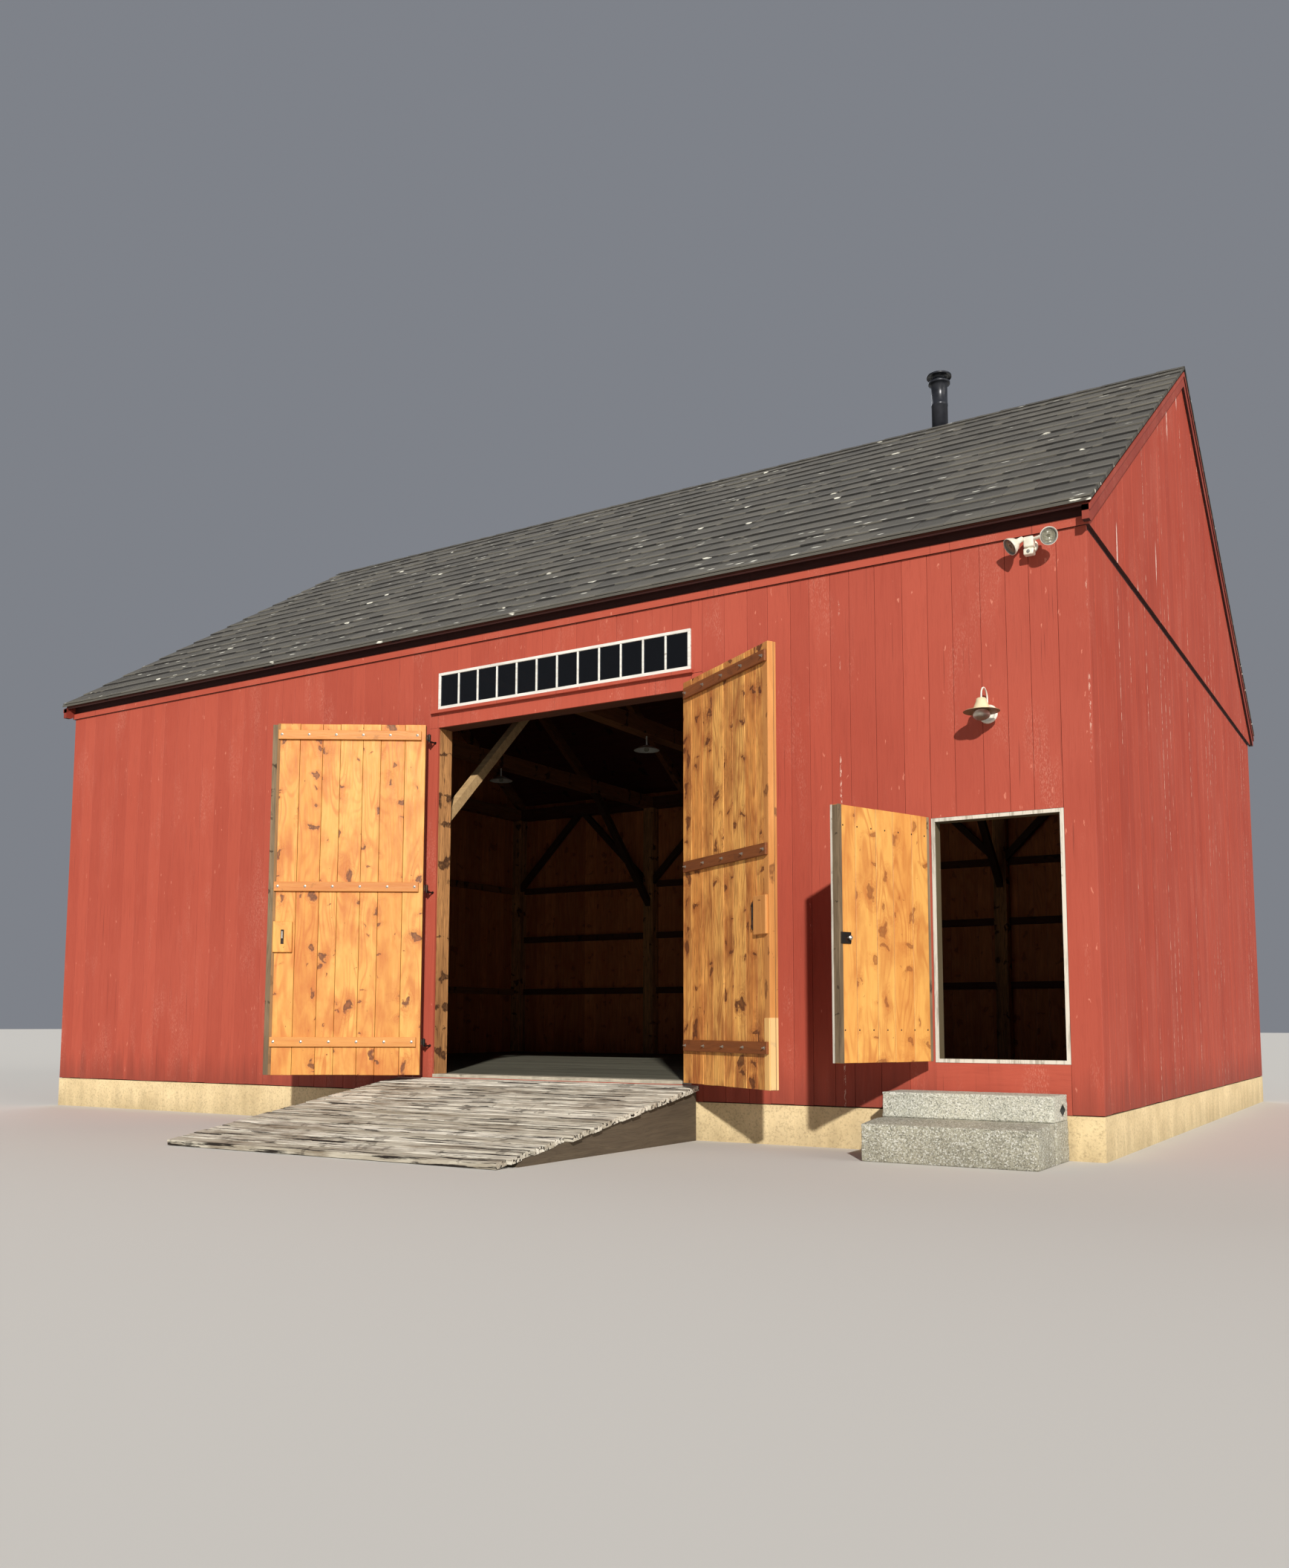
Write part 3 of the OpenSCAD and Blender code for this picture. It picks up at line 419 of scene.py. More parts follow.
def redPaint(name, axis="z", fresh=(174, 79, 60), faded=(163, 71, 54), peel=0.025, splash=0.5,
             corner=False, flaking=0.0, shadowBandUnder=None):
    finish, place = startFinish(name, {"Specular IOR Level": 0.3})
    tone = boardTone(place)
    lines = linesOf(place, tone, 0.4, axis)
    aging = agingOf(place, boardZ, 0.35)
    apart = apartXYZ(place)
    cracks = cloud(place, 70, 2, 0.4, by=(1, 1, 0.015))
    # chalky specks in slow patches
    slow = remap(cloud(place, 2.6, 3, by=(1.6, 1.6, 0.4)), 0.54, 0.72)
    dust = remap(cloud(place, 150, 2, 0.6, by=(1, 1, 0.3)), 0.5, 0.66, 0, 0.4)
    specks = flakesOn(place, 42.0, 0.02, by=(1, 1, 0.35))
    # broken lines of bare wood down a few joints, and down the corner
    seams = addNode("ShaderNodeTexVoronoi", {"W": plus(apart["X"], apart["Y"]), "Scale": 4.3},
                    voronoi_dimensions="1D").outputs
    chosen = calculate("LESS_THAN", cellChance(seams), peel)
    bare = times(chosen, remap(seams["Distance"], 0.045, 0.02))
    if corner:
        fromCorner = calculate("ABSOLUTE", minus(apart["X"], rightX - 0.014))
        cornerLine = times(remap(fromCorner, 0.010, 0.004), remap(apart["Z"], 2.2, 4.2))
        bare = calculate("MAXIMUM", bare, cornerLine)
    long = remap(cloud(place, 1.3, 3, by=(1, 1, 0.8)), 0.47, 0.53)
    short = remap(cloud(place, 45, 4, 0.7, by=(1, 1, 0.4)), 0.5, 0.56)
    base = mixColors(tone, rgb(*fresh), rgb(*faded))
    base = layered(base,
                   (remap(aging["Patch"], 0, 1, 0, 0.35), (180, 87, 68)),
                   (remap(lines["Broad"], 0.5, 0.8, 0, 0.30), (140, 56, 42)),
                   (remap(lines["Fine"], 0.55, 0.85, 0, 0.30), (128, 50, 38)),
                   (remap(cracks, 0.68, 0.75, 0, 0.5), (88, 36, 28)),
                   (times(slow, dust), (214, 148, 128)),
                   (times(specks, 0.7), (208, 128, 106)),
                   (times(bare, times(long, short)), (218, 180, 162)))
    if flaking:
        big = flakesOn(place, 8.0, flaking, by=(1.6, 1.6, 0.16))
        left = remap(cloud(place, 40, 4, 0.7, by=(1, 1, 0.3)), 0.40, 0.5)
        base = layered(base, (times(big, left), (230, 204, 192)))
    base = layered(base, (times(aging["Splash"], splash), (108, 50, 40)))
    # a painted shadow band on the lower boards just under the upper boards' edge
    if shadowBandUnder:
        shade = times(remap(apart["Z"], shadowBandUnder - 0.034, shadowBandUnder - 0.026),
                      calculate("LESS_THAN", apart["Z"], shadowBandUnder - 0.0005))
        base = layered(base, (shade, (52, 18, 14)))
    return endFinish(finish, base, remap(lines["Broad"], 0.3, 0.7, 0.55, 0.72), lines["Height"],
                     0.0014)


def whitePaint(name, color=(226, 224, 216), axis="x", worn=0.25, bareBehind=None):
    finish, place = startFinish(name)
    lines = linesOf(place, axis=axis)
    bare = cloud(turned(place, axis, 0.0), 30, 5, 0.7, by=(1, 1, 0.08))
    base = layered(rgb(*color), (remap(lines["Broad"], 0.5, 0.8, 0, 0.25), (176, 172, 160)),
                   (remap(bare, 0.5, 0.62, 0, worn), (128, 118, 100)))
    if bareBehind:
        behind = remap(apartXYZ(place)["Y"], bareBehind, bareBehind + 0.006)
        base = layered(base, (behind, (104, 92, 70)))
    base = layered(base, (times(flakesOn(place, 26.0, 0.05), 0.6), (150, 140, 124)))
    return endFinish(finish, base, remap(lines["Broad"], 0.3, 0.7, 0.40, 0.60), lines["Height"],
                     0.0008)


shingleSize = {"courses": 17, "narrow": 0.22, "wide": 0.38, "thick": 0.012, "butt": 0.018,
               "lap": 0.10, "gap": 0.002, "jog": 0.024, "sag": 0.014, "ripple": 0.022,
               "nose": 0.012, "uneven": 0.002}


def shingleFelt(name):
    finish, place = startFinish(name)
    apart = apartXYZ(place)
    grit = cloud(place, 150, 3, 0.7)
    slow = cloud(place, 1.1, 4, by=(0.5, 1, 1))
    # how far up its course a point lies: a painted shadow darkens the top of each course under the
    # next butt, and a painted highlight lightens each butt
    halfDepth = (rearY - frontY) / 2 + roofShape["eaveOut"]
    level = minus(halfDepth, calculate("ABSOLUTE", minus(apart["Y"], midY)))
    waver = remap(cloud(place, 3.0, 2, by=(1, 0.2, 0.2)), 0.3, 0.7, -0.03, 0.03)
    rows = plus(times(level, shingleSize["courses"] / halfDepth), waver)
    part = calculate("FRACT", calculate("MAXIMUM", rows, 0.12))
    # lichen, thickest low down and as a crust at the eave's right end
    crust = times(remap(apart["Z"], 5.32, 5.22),
                  remap(apart["X"], rightX - 0.4, rightX + 0.02, 0, 0.7))
    amount = plus(remap(apart["Z"], 5.3, 6.8, 0.10, 0.03), crust)
    lichen = flakesOn(place, 20.0, amount, by=(0.33, 1, 1))
    base = mixColors(boardTone(place), rgb(66, 63, 57), rgb(88, 84, 75))
    base = layered(base,
                   (remap(slow, 0.35, 0.7, 0, 0.35), (98, 93, 82)),
                   (remap(grit, 0.42, 0.7, 0, 0.5), (54, 54, 52)),
                   # painted shadow under each butt, then a painted highlight along each butt
                   (remap(part, 0.72, 0.95, 0, 0.85), (34, 32, 30)),
                   (remap(part, 0.22, 0.04, 0, 0.35), (126, 122, 111)),
                   (lichen, (228, 226, 212)))
    return endFinish(finish, base, 0.9, plus(grit, times(slow, 2.0)), 0.002)


def castStone(name, light, dark, spot, grit, depth, splash=0.0, speckle=0.0):
    finish, place = startFinish(name)
    slow = cloud(place, 2.4, 5)
    fine = cloud(place, grit, 4, 0.7)
    base = mixColors(remap(slow, 0.3, 0.7), rgb(*light), rgb(*dark))
    base = layered(base, (remap(fine, 0.5, 0.68, 0, 0.6), spot))
    if speckle:
        grains = addNode("ShaderNodeTexVoronoi", {"Vector": place, "Scale": 120.0}).outputs
        grains = cellChance(grains)
        base = layered(base, (remap(grains, 0.72, 0.9, 0, speckle), (240, 240, 232)),
                       (remap(grains, 0.28, 0.1, 0, speckle), spot))
    dirt = agingOf(place, 0.0, 0.25)["Splash"]
    base = layered(base, (times(dirt, splash), (96, 82, 62)))
    return endFinish(finish, base, 0.85, plus(fine, times(slow, 1.5)), depth)


def coated(name, color, worn, rough=0.4, metallic=0.0, scale=40.0, wear=0.15):
    # enamel, plastic or paint on metal with dust and small marks
    finish, place = startFinish(name, {"Metallic": metallic})
    slow = cloud(place, 9.0, 4)
    marks = flakesOn(place, scale, wear)
    base = layered(rgb(*color), (remap(slow, 0.4, 0.75, 0, 0.5), worn),
                   (times(marks, 0.5), worn))
    return endFinish(finish, base, remap(slow, 0.3, 0.7, rough - 0.08, rough + 0.12), slow, 0.001)


def forgedIron(name):
    finish, place = startFinish(name, {"Metallic": 0.75})
    hammer = cloud(place, 38, 4)
    rust = remap(cloud(place, 13, 5, 0.65), 0.5, 0.72)
    base = layered(rgb(44, 40, 38), (rust, (92, 56, 40)))
    return endFinish(finish, base, remap(hammer, 0.3, 0.7, 0.42, 0.7), hammer, 0.002)


def clearGlass(name, tint, rough=0.05):
    finish, place = startFinish(name, {"IOR": 1.5, "Transmission Weight": 1.0})
    ripple = cloud(place, 3.5, 2)
    base = layered(rgb(*tint), (ripple, [min(255, v + 14) for v in tint]))
    return endFinish(finish, base, rough, ripple, 0.004)


# colours are 0-255; woods take a light, a dark and a knot colour
finishes = {
    "redBoards": redPaint("red_boards", corner=True),
    "redGable": redPaint("red_gable", fresh=(168, 66, 44), faded=(157, 59, 39), peel=0.3,
                         flaking=0.02, shadowBandUnder=friezeZ),
    "redTrim": redPaint("red_trim", axis="x", peel=0.0, splash=0.2),
    # a dark red standing in for the shade under the soffit, the eave, the rakes and the board
    # undersides: painted shade
    "redPaintedShade": boardWood("red_painted_shade", (62, 24, 18), (44, 16, 13), (32, 12, 10), axis="x",
                          knots=0.3, rough=0.7),
    "redRake": redPaint("red_rakes", axis="y", fresh=(140, 56, 43), faded=(126, 49, 38), peel=0.0,
                        splash=0.0),
    "redPosts": redPaint("red_casing", peel=0.0, splash=0.4),
    "bareBoards": boardWood("bare_boards", (226, 142, 82), (170, 96, 52), (90, 48, 28), rough=0.75,
                            halo=(176, 92, 46), patchy=0.4, knots=0.5),
    "brownEdge": boardWood("brown_edge", (150, 112, 72), (96, 70, 44), (52, 36, 24), rough=0.8,
                           knots=0.4),
    "weathered": boardWood("weathered_wood", (148, 128, 100), (88, 72, 54), (56, 44, 32),
                           rough=0.85, stain=(58, 46, 34), stainAmount=0.7),
    "timberZ": boardWood("old_timber_upright", (214, 156, 98), (126, 78, 42), (58, 32, 18),
                         rough=0.8, stain=(66, 36, 20), stainAmount=0.9, lined=0.9),
    # old timber, darkened further as painted shade where the girts show under the boards
    "timberXShaded": boardWood("old_timber_along_shaded", (88, 50, 32), (58, 32, 20), (48, 26, 14), axis="x",
                         rough=0.8),
    "timberY": boardWood("old_timber_across", (150, 96, 56), (86, 52, 30), (48, 26, 14), axis="y",
                         rough=0.8),
    "braceWood": boardWood("brace_timber", (196, 164, 118), (128, 96, 62), (70, 46, 28), axis="x",
                           rough=0.8, knots=0.3, shadeBehind=frontY + 2.1),
    # roof boards, darkened as painted shade on their front edge and underside
    "roofDealShaded": boardWood("roof_boards", (92, 44, 30), (62, 30, 20), (34, 16, 12), axis="x",
                          rough=0.8),
    "pineLight": boardWood("light_pine", (222, 168, 88), (200, 134, 60), (92, 50, 26),
                           halo=(180, 96, 38), angle=leafAngles["left_leaf"], patchy=0.65,
                           rough=0.5),
    "pineLightAcross": boardWood("light_pine_across", (206, 146, 76), (184, 112, 54), (92, 52, 28),
                                 axis="x", angle=leafAngles["left_leaf"], knots=0.3, rough=0.5),
    "pineHoney": boardWood("honey_pine", (255, 196, 108), (226, 146, 72), (84, 44, 24),
                           halo=(156, 80, 36), angle=leafAngles["right_leaf"], patchy=0.6,
                           rough=0.5, stain=(108, 58, 26), stainAmount=0.6, lined=0.75),
    "pineBrownAcross": boardWood("brown_pine_across", (154, 88, 42), (106, 58, 27), (54, 30, 18),
                                 axis="x", angle=leafAngles["right_leaf"], knots=0.3, rough=0.6),
    "pineOrange": boardWood("orange_pine", (224, 172, 92), (206, 140, 68), (120, 66, 32),
                            halo=(172, 96, 42), angle=leafAngles["side_door"], patchy=0.5,
                            knots=0.75, rough=0.5),
    "pineEdge": boardWood("pine_edge", (216, 152, 84), (176, 112, 58), (96, 54, 28), knots=0.8,
                          rough=0.55, angle=leafAngles["right_leaf"],
                          paleBelow=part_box("right_leaf_boards")[0].z + 0.58),
    "pinePatch": boardWood("new_pine", (240, 198, 130), (222, 164, 92), (150, 90, 44), knots=0.4,
                           rough=0.55, angle=leafAngles["right_leaf"]),
    "sideShade": boardWood("shaded_planks", (92, 80, 64), (58, 48, 38), (34, 28, 22), axis="y",
                           rough=0.9, knots=0.3),
    "rampPlank": sunBleached("ramp_planks"),
    "greyPlank": boardWood("grey_planks", (206, 198, 178), (132, 122, 104), (60, 50, 40), axis="x",
                           rough=0.85, stain=(70, 62, 52), stainAmount=0.5, depth=0.005, knots=0.6),
    "floorPlank": boardWood("floor_planks", (112, 110, 96), (82, 80, 68), (60, 54, 42), axis="x",
                            knots=0.4, rough=0.7),
    "white": whitePaint("white_paint"),
    "doorEdge": whitePaint("white_door_edge", (206, 200, 186), axis="z", worn=0.6),
    "whiteUpright": whitePaint("white_paint_upright", (210, 204, 190), axis="z", worn=0.6,
                               bareBehind=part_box("side_door_frame")[0].y + 0.006),
    "shingles": shingleFelt("shingles"),
    "concrete": castStone("concrete", (232, 210, 164), (206, 184, 140), (150, 130, 98), 55, 0.004,
                          0.3),
    "granite": castStone("granite", (214, 212, 194), (186, 186, 172), (100, 102, 96), 75, 0.012,
                         0.15, 0.6),
    "graniteGrey": castStone("granite_grey", (184, 180, 160), (156, 154, 138), (84, 84, 76), 75,
                             0.012, 0.25, 0.6),
    "holeShade": castStone("granite_recess", (58, 58, 54), (40, 40, 38), (30, 30, 28), 75, 0.003),
    "windowGlass": clearGlass("window_glass", (70, 84, 104)),
    "globeGlass": clearGlass("globe_glass", (222, 222, 214), 0.4),
    "lensGlass": clearGlass("lens_glass", (190, 190, 180), 0.2),
    "iron": forgedIron("forged_iron"),
    "cream": coated("cream_enamel", (222, 208, 170), (168, 150, 116), 0.35),
    "lampUnderShade": coated("lamp_underside_shaded", (122, 104, 78), (84, 68, 48), 0.5),
    "plate": coated("white_plate", (228, 224, 212), (176, 168, 150)),
    "flood": coated("white_plastic", (228, 224, 208), (178, 170, 150), 0.42),
    "floodRing": coated("grey_rings", (120, 120, 116), (82, 82, 80), 0.5),
    "pendant": coated("pendant_enamel", (220, 220, 214), (170, 168, 160), 0.3),
    "pipe": coated("black_pipe", (36, 38, 44), (54, 56, 64), 0.34, 0.3, 14.0, 0.1),
    "bright": coated("bright_metal", (196, 192, 182), (140, 134, 124), 0.3, 0.9, 60.0, 0.1),
}
print("finishes made:", len(finishes))


def makePiece(name, bm, materials, standsFor=(), body="barn", smooth=False):
    mesh = bpy.data.meshes.new(name)
    bm.normal_update()
    bm.to_mesh(mesh)
    bm.free()
    for key in materials:
        mesh.materials.append(finishes[key])
    if smooth:
        mesh.shade_smooth()
    piece = bpy.data.objects.new(name, mesh)
    scene.collection.objects.link(piece)
    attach(piece, body)
    if standsFor:
        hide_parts(*standsFor)


def startPiece():
    bm = bmesh.new()
    bm.faces.layers.float.new("tone")
    return bm


def join(target, part, tone=0.5, place=None, finish=None):
    # puts a part into the piece, with one shade of its own and one of the piece's finishes
    if place is not None:
        bmesh.ops.transform(part, matrix=place, verts=part.verts)
        if place.determinant() < 0:
            bmesh.ops.reverse_faces(part, faces=part.faces)
    shade = part.faces.layers.float.get("tone") or part.faces.layers.float.new("tone")
    for face in part.faces:
        face[shade] = tone
        if finish is not None:
            face.material_index = finish
    scratch = bpy.data.meshes.new("scratch")
    part.to_mesh(scratch)
    part.free()
    target.from_mesh(scratch)
    bpy.data.meshes.remove(scratch)


def everything(bm):
    return bm.verts[:] + bm.edges[:] + bm.faces[:]


def board(low, high, edge=0.0015, rounds=1):
    low, high = Vector(low), Vector(high)
    bm = bmesh.new()
    bmesh.ops.create_cube(bm, size=1, matrix=Matrix.Translation((low + high) / 2)
                          @ Matrix.Diagonal((*(high - low), 1)))
    if edge:
        roundEdges(bm, bm.edges[:], edge, rounds)
    return bm


def roundEdges(bm, edges, offset, segments):
    bmesh.ops.bevel(bm, geom=edges, offset=offset, segments=segments, profile=0.5, affect="EDGES",
                    material=-1)


def cutAway(bm, point, normal):
    # keeps what lies behind the plane and closes the cut
    cut = bmesh.ops.bisect_plane(bm, geom=everything(bm), plane_co=point, plane_no=normal,
                                 clear_outer=True)
    edges = [e for e in cut["geom_cut"] if isinstance(e, bmesh.types.BMEdge)]
    if edges:
        bmesh.ops.holes_fill(bm, edges=edges, sides=0)


def lathe(profile, steps, place=None):
    # turns a profile of (radius, height) points about Z
    bm = bmesh.new()
    points = [bm.verts.new((radius, 0, height)) for radius, height in profile]
    edges = [bm.edges.new(pair) for pair in zip(points, points[1:])]
    bmesh.ops.spin(bm, geom=points + edges, cent=(0, 0, 0), axis=(0, 0, 1), angle=math.tau,
                   steps=steps, use_merge=True)
    bmesh.ops.remove_doubles(bm, verts=bm.verts, dist=1e-5)
    bmesh.ops.recalc_face_normals(bm, faces=bm.faces)
    if place is not None:
        bmesh.ops.transform(bm, matrix=place, verts=bm.verts)
    return bm


def rod(start, end, radius, sides=12):
    start, end = Vector(start), Vector(end)
    length = (end - start).length
    edge = min(radius, length) * 0.12
    turn = (end - start).to_track_quat("Z", "Y").to_matrix().to_4x4()
    return lathe([(0, 0), (radius - edge, 0), (radius, edge), (radius, length - edge),
                  (radius - edge, length), (0, length)], sides, Matrix.Translation(start) @ turn)


def facing(point, degrees):
    # a seat at a point, whose Z looks to the front (90) or to the rear (-90)
    return Matrix.Translation(point) @ Matrix.Rotation(math.radians(degrees), 4, "X")


def mirrorDepth():
    # front to rear, about the middle of the barn
    return Matrix.Translation((0, 2 * midY, 0)) @ Matrix.Scale(-1, 4, (0, 1, 0))


def splitRun(start, end, narrow, wide, dice):
    # boards of uneven width that fill a run
    widths = []
    while sum(widths) < end - start:
        widths.append(dice.uniform(narrow, wide))
    share = (end - start) / sum(widths)
    marks = [start]
    for width in widths:
        marks.append(marks[-1] + width * share)
    return list(zip(marks, marks[1:]))


def spaced(start, end, count):
    return [start + (end - start) * index / (count - 1) for index in range(count)]


def dressByFace(bm, outward):
    # finish 0 on the painted side and the edges, 1 on the bare side, 2 underneath, where a dark
    # finish stands in as painted shade
    bm.normal_update()
    for face in bm.faces:
        bare, under = face.normal.dot(outward) < -0.6, face.normal.z < -0.6
        face.material_index = 1 if bare else 2 if under else 0


wallBoards = {"narrow": 0.19, "wide": 0.27, "gap": 0.003, "stagger": 0.0016, "foot": 0.006,
              "edge": 0.0016}


def boardWall(name, node, outward, dice, opening=None, cutPlanes=(), seams=(), paint="redBoards"):
    low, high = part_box(node)
    outward = Vector(outward)
    run, depth = (1, 0) if outward.x else (0, 1)
    bm = startPiece()
    marks = [low[run], *seams, high[run]]
    for first, last in zip(marks, marks[1:]):
        for start, end in splitRun(first, last, wallBoards["narrow"], wallBoards["wide"], dice):
            spans = [(low.z, high.z)]
            if opening and start > opening[0].x - 0.01 and end < opening[1].x + 0.01:
                spans = [(low.z, opening[0].z), (opening[1].z, high.z)]
            tone = dice.random()
            for bottom, top in spans:
                if top - bottom < 0.01:
                    continue
                near, far = low.copy(), high.copy()
                near[run], far[run] = start + wallBoards["gap"] / 2, end - wallBoards["gap"] / 2
                near.z, far.z = bottom, top
                if bottom == low.z and not cutPlanes:
                    near.z = bottom + dice.uniform(0, wallBoards["foot"])
                outer = far if outward[depth] > 0 else near
                outer[depth] -= outward[depth] * dice.uniform(0, wallBoards["stagger"])
                part = board(near, far, wallBoards["edge"])
                for point, normal in cutPlanes:
                    cutAway(part, point, normal)
                dressByFace(part, outward)
                join(bm, part, tone)
    makePiece(name, bm, [paint, "bareBoards", "redPaintedShade"], [node])


def roofHeight(y, depth=0.0):
    # height of the roof's surface, or of a layer at a depth square to the slope
    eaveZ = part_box("front_roof")[0].z + roofShape["shingle"] / roofCos
    inward = min(y - frontY, rearY - y) + roofShape["eaveOut"]
    return eaveZ + inward * roofShape["pitch"] - depth / roofCos


def buildWalls():
    dice = random.Random(41)
    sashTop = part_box("transom_frame")[1].z
    transom = (Vector((doorLow.x, 0, sashTop - sashHigh)), Vector((doorHigh.x, 0, sashTop)))
    overDoors = {"opening": transom, "seams": (doorLow.x, doorHigh.x)}
    for part, options in (("left", {}), ("over_doors", overDoors), ("middle", {}),
                          ("over_side_door", {}), ("right", {})):
        boardWall("front_boards_" + part, "front_wall_" + part, (0, -1, 0), dice, **options)
    boardWall("rear_boards", "rear_wall", (0, 1, 0), dice)
    ridge = Vector((0, midY, roofHeight(midY, roofShape["shingle"] + roofShape["boards"] + 0.001)))
    slopes = [(ridge, Vector((0, way * roofShape["pitch"], 1))) for way in (-1, 1)]
    for boards, node, options in (("boards", "wall", {}),
                                  ("top_boards", "top", {"cutPlanes": slopes})):
        for side, way in (("left", -1), ("right", 1)):
            boardWall(f"{side}_gable_{boards}", f"{side}_gable_{node}", (way, 0, 0), dice,
                      paint="redGable", **options)
    print("wall boards laid")


buildWalls()


def shingleSlope(name, side, dice):
    low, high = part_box("front_roof")
    length = (midY - low.y) / roofCos
    step = length / shingleSize["courses"]
    origin = Vector((low.x, low.y, roofHeight(frontY - roofShape["eaveOut"])))
    up = Vector((0, roofCos, roofCos * roofShape["pitch"]))
    out = Vector((0, -roofCos * roofShape["pitch"], roofCos))
    slope = Matrix.Translation(origin) @ Matrix((Vector((1, 0, 0)), up, out)).transposed().to_4x4()
    if side < 0:
        slope = mirrorDepth() @ slope
    bm = startPiece()
    tilt = Matrix.Rotation(-math.atan(shingleSize["butt"] / (step + shingleSize["lap"])), 4, "X")
    gap, uneven = shingleSize["gap"] / 2, shingleSize["uneven"]
    for course in range(shingleSize["courses"]):
        foot = course * step
        deep = min(step + shingleSize["lap"], length - foot)
        for start, end in splitRun(0, high.x - low.x, shingleSize["narrow"], shingleSize["wide"],
                                   dice):
            wave = shingleSize["sag"] * noise.noise((start * 0.8, course * 3.7, side)) \
                + shingleSize["ripple"] * noise.noise((start * 3.1, course * 1.9, side + 4))
            jog = dice.uniform(-0.5, 0.5) * shingleSize["jog"] + (wave if course else 0)
            lift = shingleSize["butt"] + dice.uniform(-uneven, uneven)
            part = board((start + gap, max(jog, 0), -shingleSize["thick"]), (end - gap, deep, 0), 0)
            nose = [e for e in part.edges
                    if all(v.co.y < 0.02 and v.co.z > -0.001 for v in e.verts)]
            roundEdges(part, nose, shingleSize["nose"], 3)
            join(bm, part, dice.random(), slope @ Matrix.Translation((0, foot, lift)) @ tilt)
    makePiece(name, bm, ["shingles"])


ridgeCaps = {"length": 0.30, "leg": 0.165, "thick": 0.007, "lap": 0.04, "lift": 0.007, "bend": 0.02,
             "high": 0.012, "uneven": 0.0015}


def buildRidge(dice):
    low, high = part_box("ridge_cap")
    bm = startPiece()
    span = high.x - low.x
    count = round(span / ridgeCaps["length"])
    leg, bend, uneven = ridgeCaps["leg"] * roofCos, ridgeCaps["bend"], ridgeCaps["uneven"]
    top = low.z + leg * roofShape["pitch"] + ridgeCaps["high"]
    for index in range(count):
        start = low.x + index * span / count
        end = min(start + span / count + ridgeCaps["lap"], high.x)
        part = bmesh.new()
        bmesh.ops.create_grid(part, x_segments=1, y_segments=8, size=0.5)
        for vertex in part.verts:
            along, far = vertex.co.x, vertex.co.y * 2 * leg
            rounded = math.hypot(far, bend) - bend
            height = (top - rounded * roofShape["pitch"] - along * ridgeCaps["lift"]
                      + dice.uniform(-uneven, uneven))
            vertex.co = Vector((start + (along + 0.5) * (end - start), midY + far, height))
        bmesh.ops.recalc_face_normals(part, faces=part.faces)
        bmesh.ops.solidify(part, geom=part.faces[:], thickness=ridgeCaps["thick"])
        bmesh.ops.recalc_face_normals(part, faces=part.faces)
        join(bm, part, dice.random() * 0.6)
    makePiece("ridge_caps", bm, ["shingles"], ["ridge_cap"])


eaveShape = {"frieze": 0.075, "friezeThick": 0.022, "bed": 0.008, "soffit": 0.015, "planks": 4,
             "short": 3.6, "long": 4.8, "gap": 0.001}


def buildEave(name, node, side, dice):
    # frieze, the board over it and soffit planks, built for the front and turned over for the rear
    low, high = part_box("front_cornice")
    friezeTop = low.z + eaveShape["frieze"]
    under = roofShape["shingle"] + roofShape["boards"]
    flip = mirrorDepth() if side < 0 else Matrix.Identity(4)
    gap, bedFace = eaveShape["gap"], frontY - eaveShape["bed"]
    bedTop = roofHeight(bedFace, under + 0.001)
    bm = startPiece()
    for start, end in splitRun(low.x, high.x, eaveShape["short"], eaveShape["long"], dice):
        start, end = start + gap / 2, end - gap / 2
        frieze = board((start, frontY - eaveShape["friezeThick"], low.z), (end, frontY, friezeTop),
                       0.003, 2)
        dressByFace(frieze, Vector((0, -1, 0)))
        join(bm, frieze, dice.random(), flip)
        join(bm, board((start, bedFace, friezeTop), (end, frontY, bedTop), 0.001), dice.random(),
             flip, 1)
    foot = Vector((low.x, low.y, roofHeight(low.y, under + eaveShape["soffit"] + 0.001)))
    pitch = (frontY - low.y) / roofCos / eaveShape["planks"]
    slope = Matrix.Translation(foot) @ Matrix.Rotation(math.atan(roofShape["pitch"]), 4, "X")
    for index in range(eaveShape["planks"]):
        plank = board((0, pitch * index + gap, 0),
                      (high.x - low.x, pitch * (index + 1) - gap, eaveShape["soffit"]))
        join(bm, plank, dice.random(), flip @ slope, 1)
    # the board over the frieze, the soffit planks and the frieze's underside take the painted shade
    # finish
    makePiece(name, bm, ["redTrim", "redPaintedShade", "redPaintedShade"], [node])


rakeShape = {"inset": 0.012, "strip": 0.042}


def rakeDepth():
    # square depth of the solid rake board, read off its outline near the ridge
    heights = [v.co.z for v in cadNodes["rake_boards"].data.vertices if abs(v.co.y - midY) < 0.002]
    return (max(heights) - min(heights)) * roofCos


